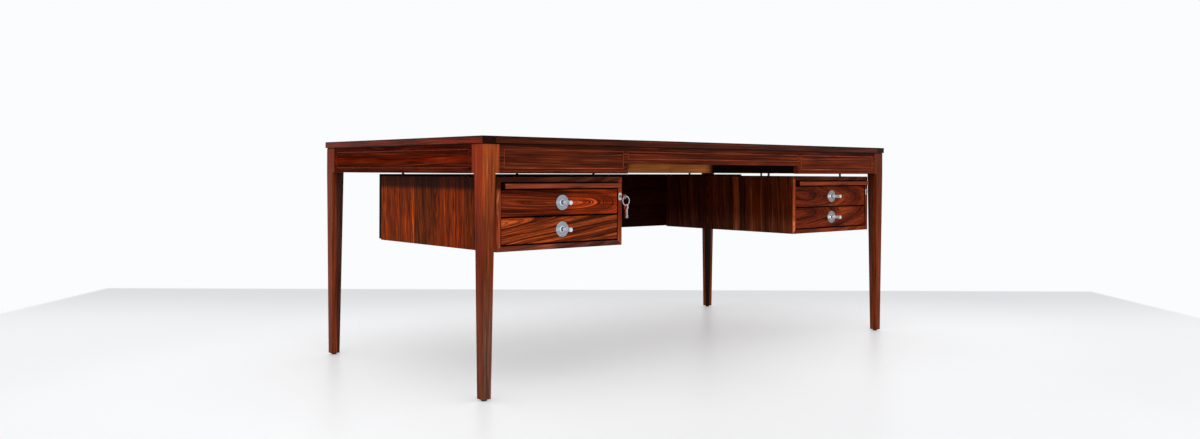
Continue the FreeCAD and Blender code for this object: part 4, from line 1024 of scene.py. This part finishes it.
class DESK_OT_pulls(bpy.types.Operator):
    """Turn the four pulls in satin nickel"""

    bl_idname = "desk.pulls"
    bl_label = "Pulls"

    def execute(self, context):
        look = context.scene.desk_pull
        profile = pull_profile(look)
        for side in SIDES:
            for level in LEVELS:
                node = f"{side}_{level}_drawer_pull"
                low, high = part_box(node)
                centre = ((low[0] + high[0]) / 2, low[1] + look.length, (low[2] + high[2]) / 2)
                points, faces = turned(profile, centre, PULL_SEGMENTS)
                material = metal(f"satin_nickel_{node}", PULL_TINTS[side], 0.34, centre, metallic=0.30,
                                 paint=pull_paint, wedge=PULL_HIGHLIGHT_WEDGES[side])
                pull = piece_from(f"{node}_turned", points, faces, f"{side}_{level}_drawer",
                                  material)
                outward(pull)
                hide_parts(node)
        return {"FINISHED"}


class DESK_OT_locks(bpy.types.Operator):
    """Finish the locks and keys, and wind the double split ring"""

    bl_idname = "desk.locks"
    bl_label = "Locks and keys"

    def execute(self, context):
        plates = metal("satin_nickel_plates", PLATE_NICKEL, 0.30, middle("lock_key"), "flat")
        finish("lock_escutcheons", plates)
        for side in SIDES:
            node = f"{side}_lock_plug"
            finish(node, metal(f"nickel_{node}", PLUG_NICKEL, 0.26, middle(node)))
        finish("lock_key", metal("nickel_key", KEY_NICKEL, 0.25, middle("lock_key"), "flat"))
        finish("spare_keys", metal("nickel_spares", SPARE_NICKEL, 0.22, middle("spare_keys"), "flat"))
        low, high = (np.array(corner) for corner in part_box("key_ring"))
        centre = (low + high) / 2
        look = context.scene.desk_ring
        points, faces = split_ring(centre, (high[0] - low[0]) / 2, high[1] - low[1], look)
        nickel = metal("nickel_ring", RING_NICKEL, 0.25, tuple(centre), metallic=0.4)
        ring = piece_from("key_ring_wound", points, faces, "hanging_keys", nickel, False)
        outward(ring)
        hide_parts("key_ring")
        return {"FINISHED"}


class DESK_OT_fittings(bpy.types.Operator):
    """Finish the glides, hanger pins and screws"""

    bl_idname = "desk.fittings"
    bl_label = "Fittings"

    def execute(self, context):
        finish("floor_glides", plastic("glide_plastic", GLIDE_BLACK, 0.5))
        finish("hanger_pins", metal("black_steel_pins", BLACK_STEEL, 0.45, middle("hanger_pins"), "flat"))
        finish("top_screws", metal("zinc_screws", ZINC, 0.35, middle("top_screws"), "flat"))
        return {"FINISHED"}


# The lamps: place, point they aim at, and width

KEY_LAMP = ((-1.5, -1.3, 3.4), (-0.2, -0.2, 0.45), 3.0)
FILL_LAMP = ((-0.8, -4.2, 1.9), (0.0, 0.0, 0.5), 2.6)

# The floor: half its side, the softness of its toned rectangle, and weights of X, Y and Z from its middle

FLOOR_HALF, FLOOR_EDGE, FLOOR_MIDDLE = 30.0, 0.03, (0.7, 1.0, 1.0)


class DESK_OT_stage(bpy.types.Operator):
    """Set the pale floor, the white surround, the lamps and the camera"""

    bl_idname = "desk.stage"
    bl_label = "Stage and camera"

    def execute(self, context):
        look = context.scene.desk_stage
        self.lay_floor(look)
        self.set_surround(context.scene, look)
        self.hang_lamp("key_lamp", KEY_LAMP, look.key_power)
        self.hang_lamp("fill_lamp", FILL_LAMP, look.fill_power)
        camera = bpy.data.cameras.new("camera")
        camera.sensor_width = 36.0
        camera.lens = look.lens
        camera.shift_y = look.shift
        camera.clip_start = 0.05
        holder = bpy.data.objects.new("camera", camera)
        turn = (Matrix.Rotation(look.camera_turn, 4, "Z") @ Matrix.Rotation(math.pi / 2, 4, "X")
                @ Matrix.Rotation(look.camera_roll, 4, "Z"))
        holder.matrix_world = Matrix.Translation(look.camera_place) @ turn
        context.scene.collection.objects.link(holder)
        context.scene.camera = holder
        context.scene.view_settings.view_transform = "Standard"
        return {"FINISHED"}

    def lay_floor(self, look):
        """A large sheet at Z 0, toned inside a rectangle that faces the camera and white outside.

        The toned part is palest under the desk, painted light that softens the desk's shadow, and grows
        darker away from it and towards the rectangle's far edge, where the darkening is painted shade as
        at the foot of a wall. A share of plain white is seen in it, which keeps its shadows soft.
        """
        half = FLOOR_HALF
        mesh = bpy.data.meshes.new("floor")
        mesh.from_pydata([(-half, -half, 0), (half, -half, 0), (half, half, 0), (-half, half, 0)], [],
                         [[0, 1, 2, 3]])
        floor = bpy.data.objects.new("floor", mesh)
        bpy.context.scene.collection.objects.link(floor)
        material, graph, shader, place = new_material("pale_floor")
        across, deep, _ = graph.split(graph.laid(place, (*look.camera_place[:2], 0.0),
                                                 (0, 0, look.camera_turn)))
        beside = graph.span(graph.math("ABSOLUTE", across), look.floor_reach - FLOOR_EDGE,
                            look.floor_reach + FLOOR_EDGE)
        beyond = graph.span(deep, look.floor_depth - FLOOR_EDGE, look.floor_depth + FLOOR_EDGE)
        outside = graph.math("MAXIMUM", beside, beyond)
        cloud = graph.span(graph.noise(place, 1.1, 2.0), 0.3, 0.7, 0.965, 1.0, "LINEAR")
        far = graph.span(deep, look.floor_depth - look.far_run, look.floor_depth, 1.0, look.far_tone)
        away = graph.vector("LENGTH", graph.vector("MULTIPLY", place, FLOOR_MIDDLE))
        outer = graph.span(away, look.outer_start, look.outer_full, 1.0, look.outer_tone)
        tone = graph.math("MULTIPLY", graph.math("MULTIPLY", cloud, far), outer)
        graph.set(shader, "Base Color", graph.toned(look.floor_colour, tone))
        shader.inputs["Roughness"].default_value = 0.38
        shader.inputs["Specular IOR Level"].default_value = 0.4
        white = graph.add("ShaderNodeEmission", Color=(*look.surround_colour, 1.0), Strength=1.0)
        share = graph.math("MULTIPLY", graph.math("MAXIMUM", outside, look.floor_white), graph.seen())
        mixed = graph.add("ShaderNodeMixShader", i0=share, i1=shader.outputs[0], i2=white.outputs[0])
        graph.set(material.node_tree.nodes["Material Output"], "Surface", mixed.outputs[0])
        mesh.materials.append(material)

    def set_surround(self, scene, look):
        """White where the surround is seen, and a softer light for the rest."""
        world = bpy.data.worlds.new("surround")
        scene.world = world
        world.use_nodes = True
        world.node_tree.nodes.clear()
        graph = Graph(world.node_tree)
        light = graph.add("ShaderNodeBackground", Color=(1.0, 1.0, 1.0, 1.0), Strength=look.surround_light)
        white = graph.add("ShaderNodeBackground", Color=(*look.surround_colour, 1.0), Strength=1.0)
        mixed = graph.add("ShaderNodeMixShader", i0=graph.seen(), i1=light.outputs[0], i2=white.outputs[0])
        graph.add("ShaderNodeOutputWorld", Surface=mixed.outputs[0])

    def hang_lamp(self, name, setting, power):
        """A square soft lamp at a place, aimed at a point."""
        place, aim, width = setting
        lamp = bpy.data.lights.new(name, "AREA")
        lamp.shape = "SQUARE"
        lamp.size = width
        lamp.energy = power
        holder = bpy.data.objects.new(name, lamp)
        holder.location = place
        holder.rotation_euler = (Vector(aim) - Vector(place)).to_track_quat("-Z", "Y").to_euler()
        bpy.context.scene.collection.objects.link(holder)


class DESK_PT_panel(bpy.types.Panel):
    """The desk's sizes, finishes and makers in the 3D view's sidebar"""

    bl_idname = "DESK_PT_panel"
    bl_label = "Executive desk"
    bl_space_type = "VIEW_3D"
    bl_region_type = "UI"
    bl_category = "Desk"

    def draw(self, context):
        for name, group in SETTINGS.items():
            box = self.layout.box()
            settings = getattr(context.scene, name)
            for key in group.__annotations__:
                box.prop(settings, key)
        for operator in OPERATORS:
            self.layout.operator(operator.bl_idname)


OPERATORS = (DESK_OT_stage, DESK_OT_slab, DESK_OT_under_frame, DESK_OT_beads, DESK_OT_cases,
             DESK_OT_drawers, DESK_OT_pulls, DESK_OT_locks, DESK_OT_fittings)


def register():
    for group in (*SETTINGS.values(), *OPERATORS, DESK_PT_panel):
        bpy.utils.register_class(group)
    for name, group in SETTINGS.items():
        setattr(bpy.types.Scene, name, bpy.props.PointerProperty(type=group))


def unregister():
    for name in SETTINGS:
        delattr(bpy.types.Scene, name)
    for group in (DESK_PT_panel, *reversed(OPERATORS), *SETTINGS.values()):
        bpy.utils.unregister_class(group)


def main():
    register()
    for operator in OPERATORS:
        category, name = operator.bl_idname.split(".")
        getattr(getattr(bpy.ops, category), name)()


if __name__ == "__main__":
    main()
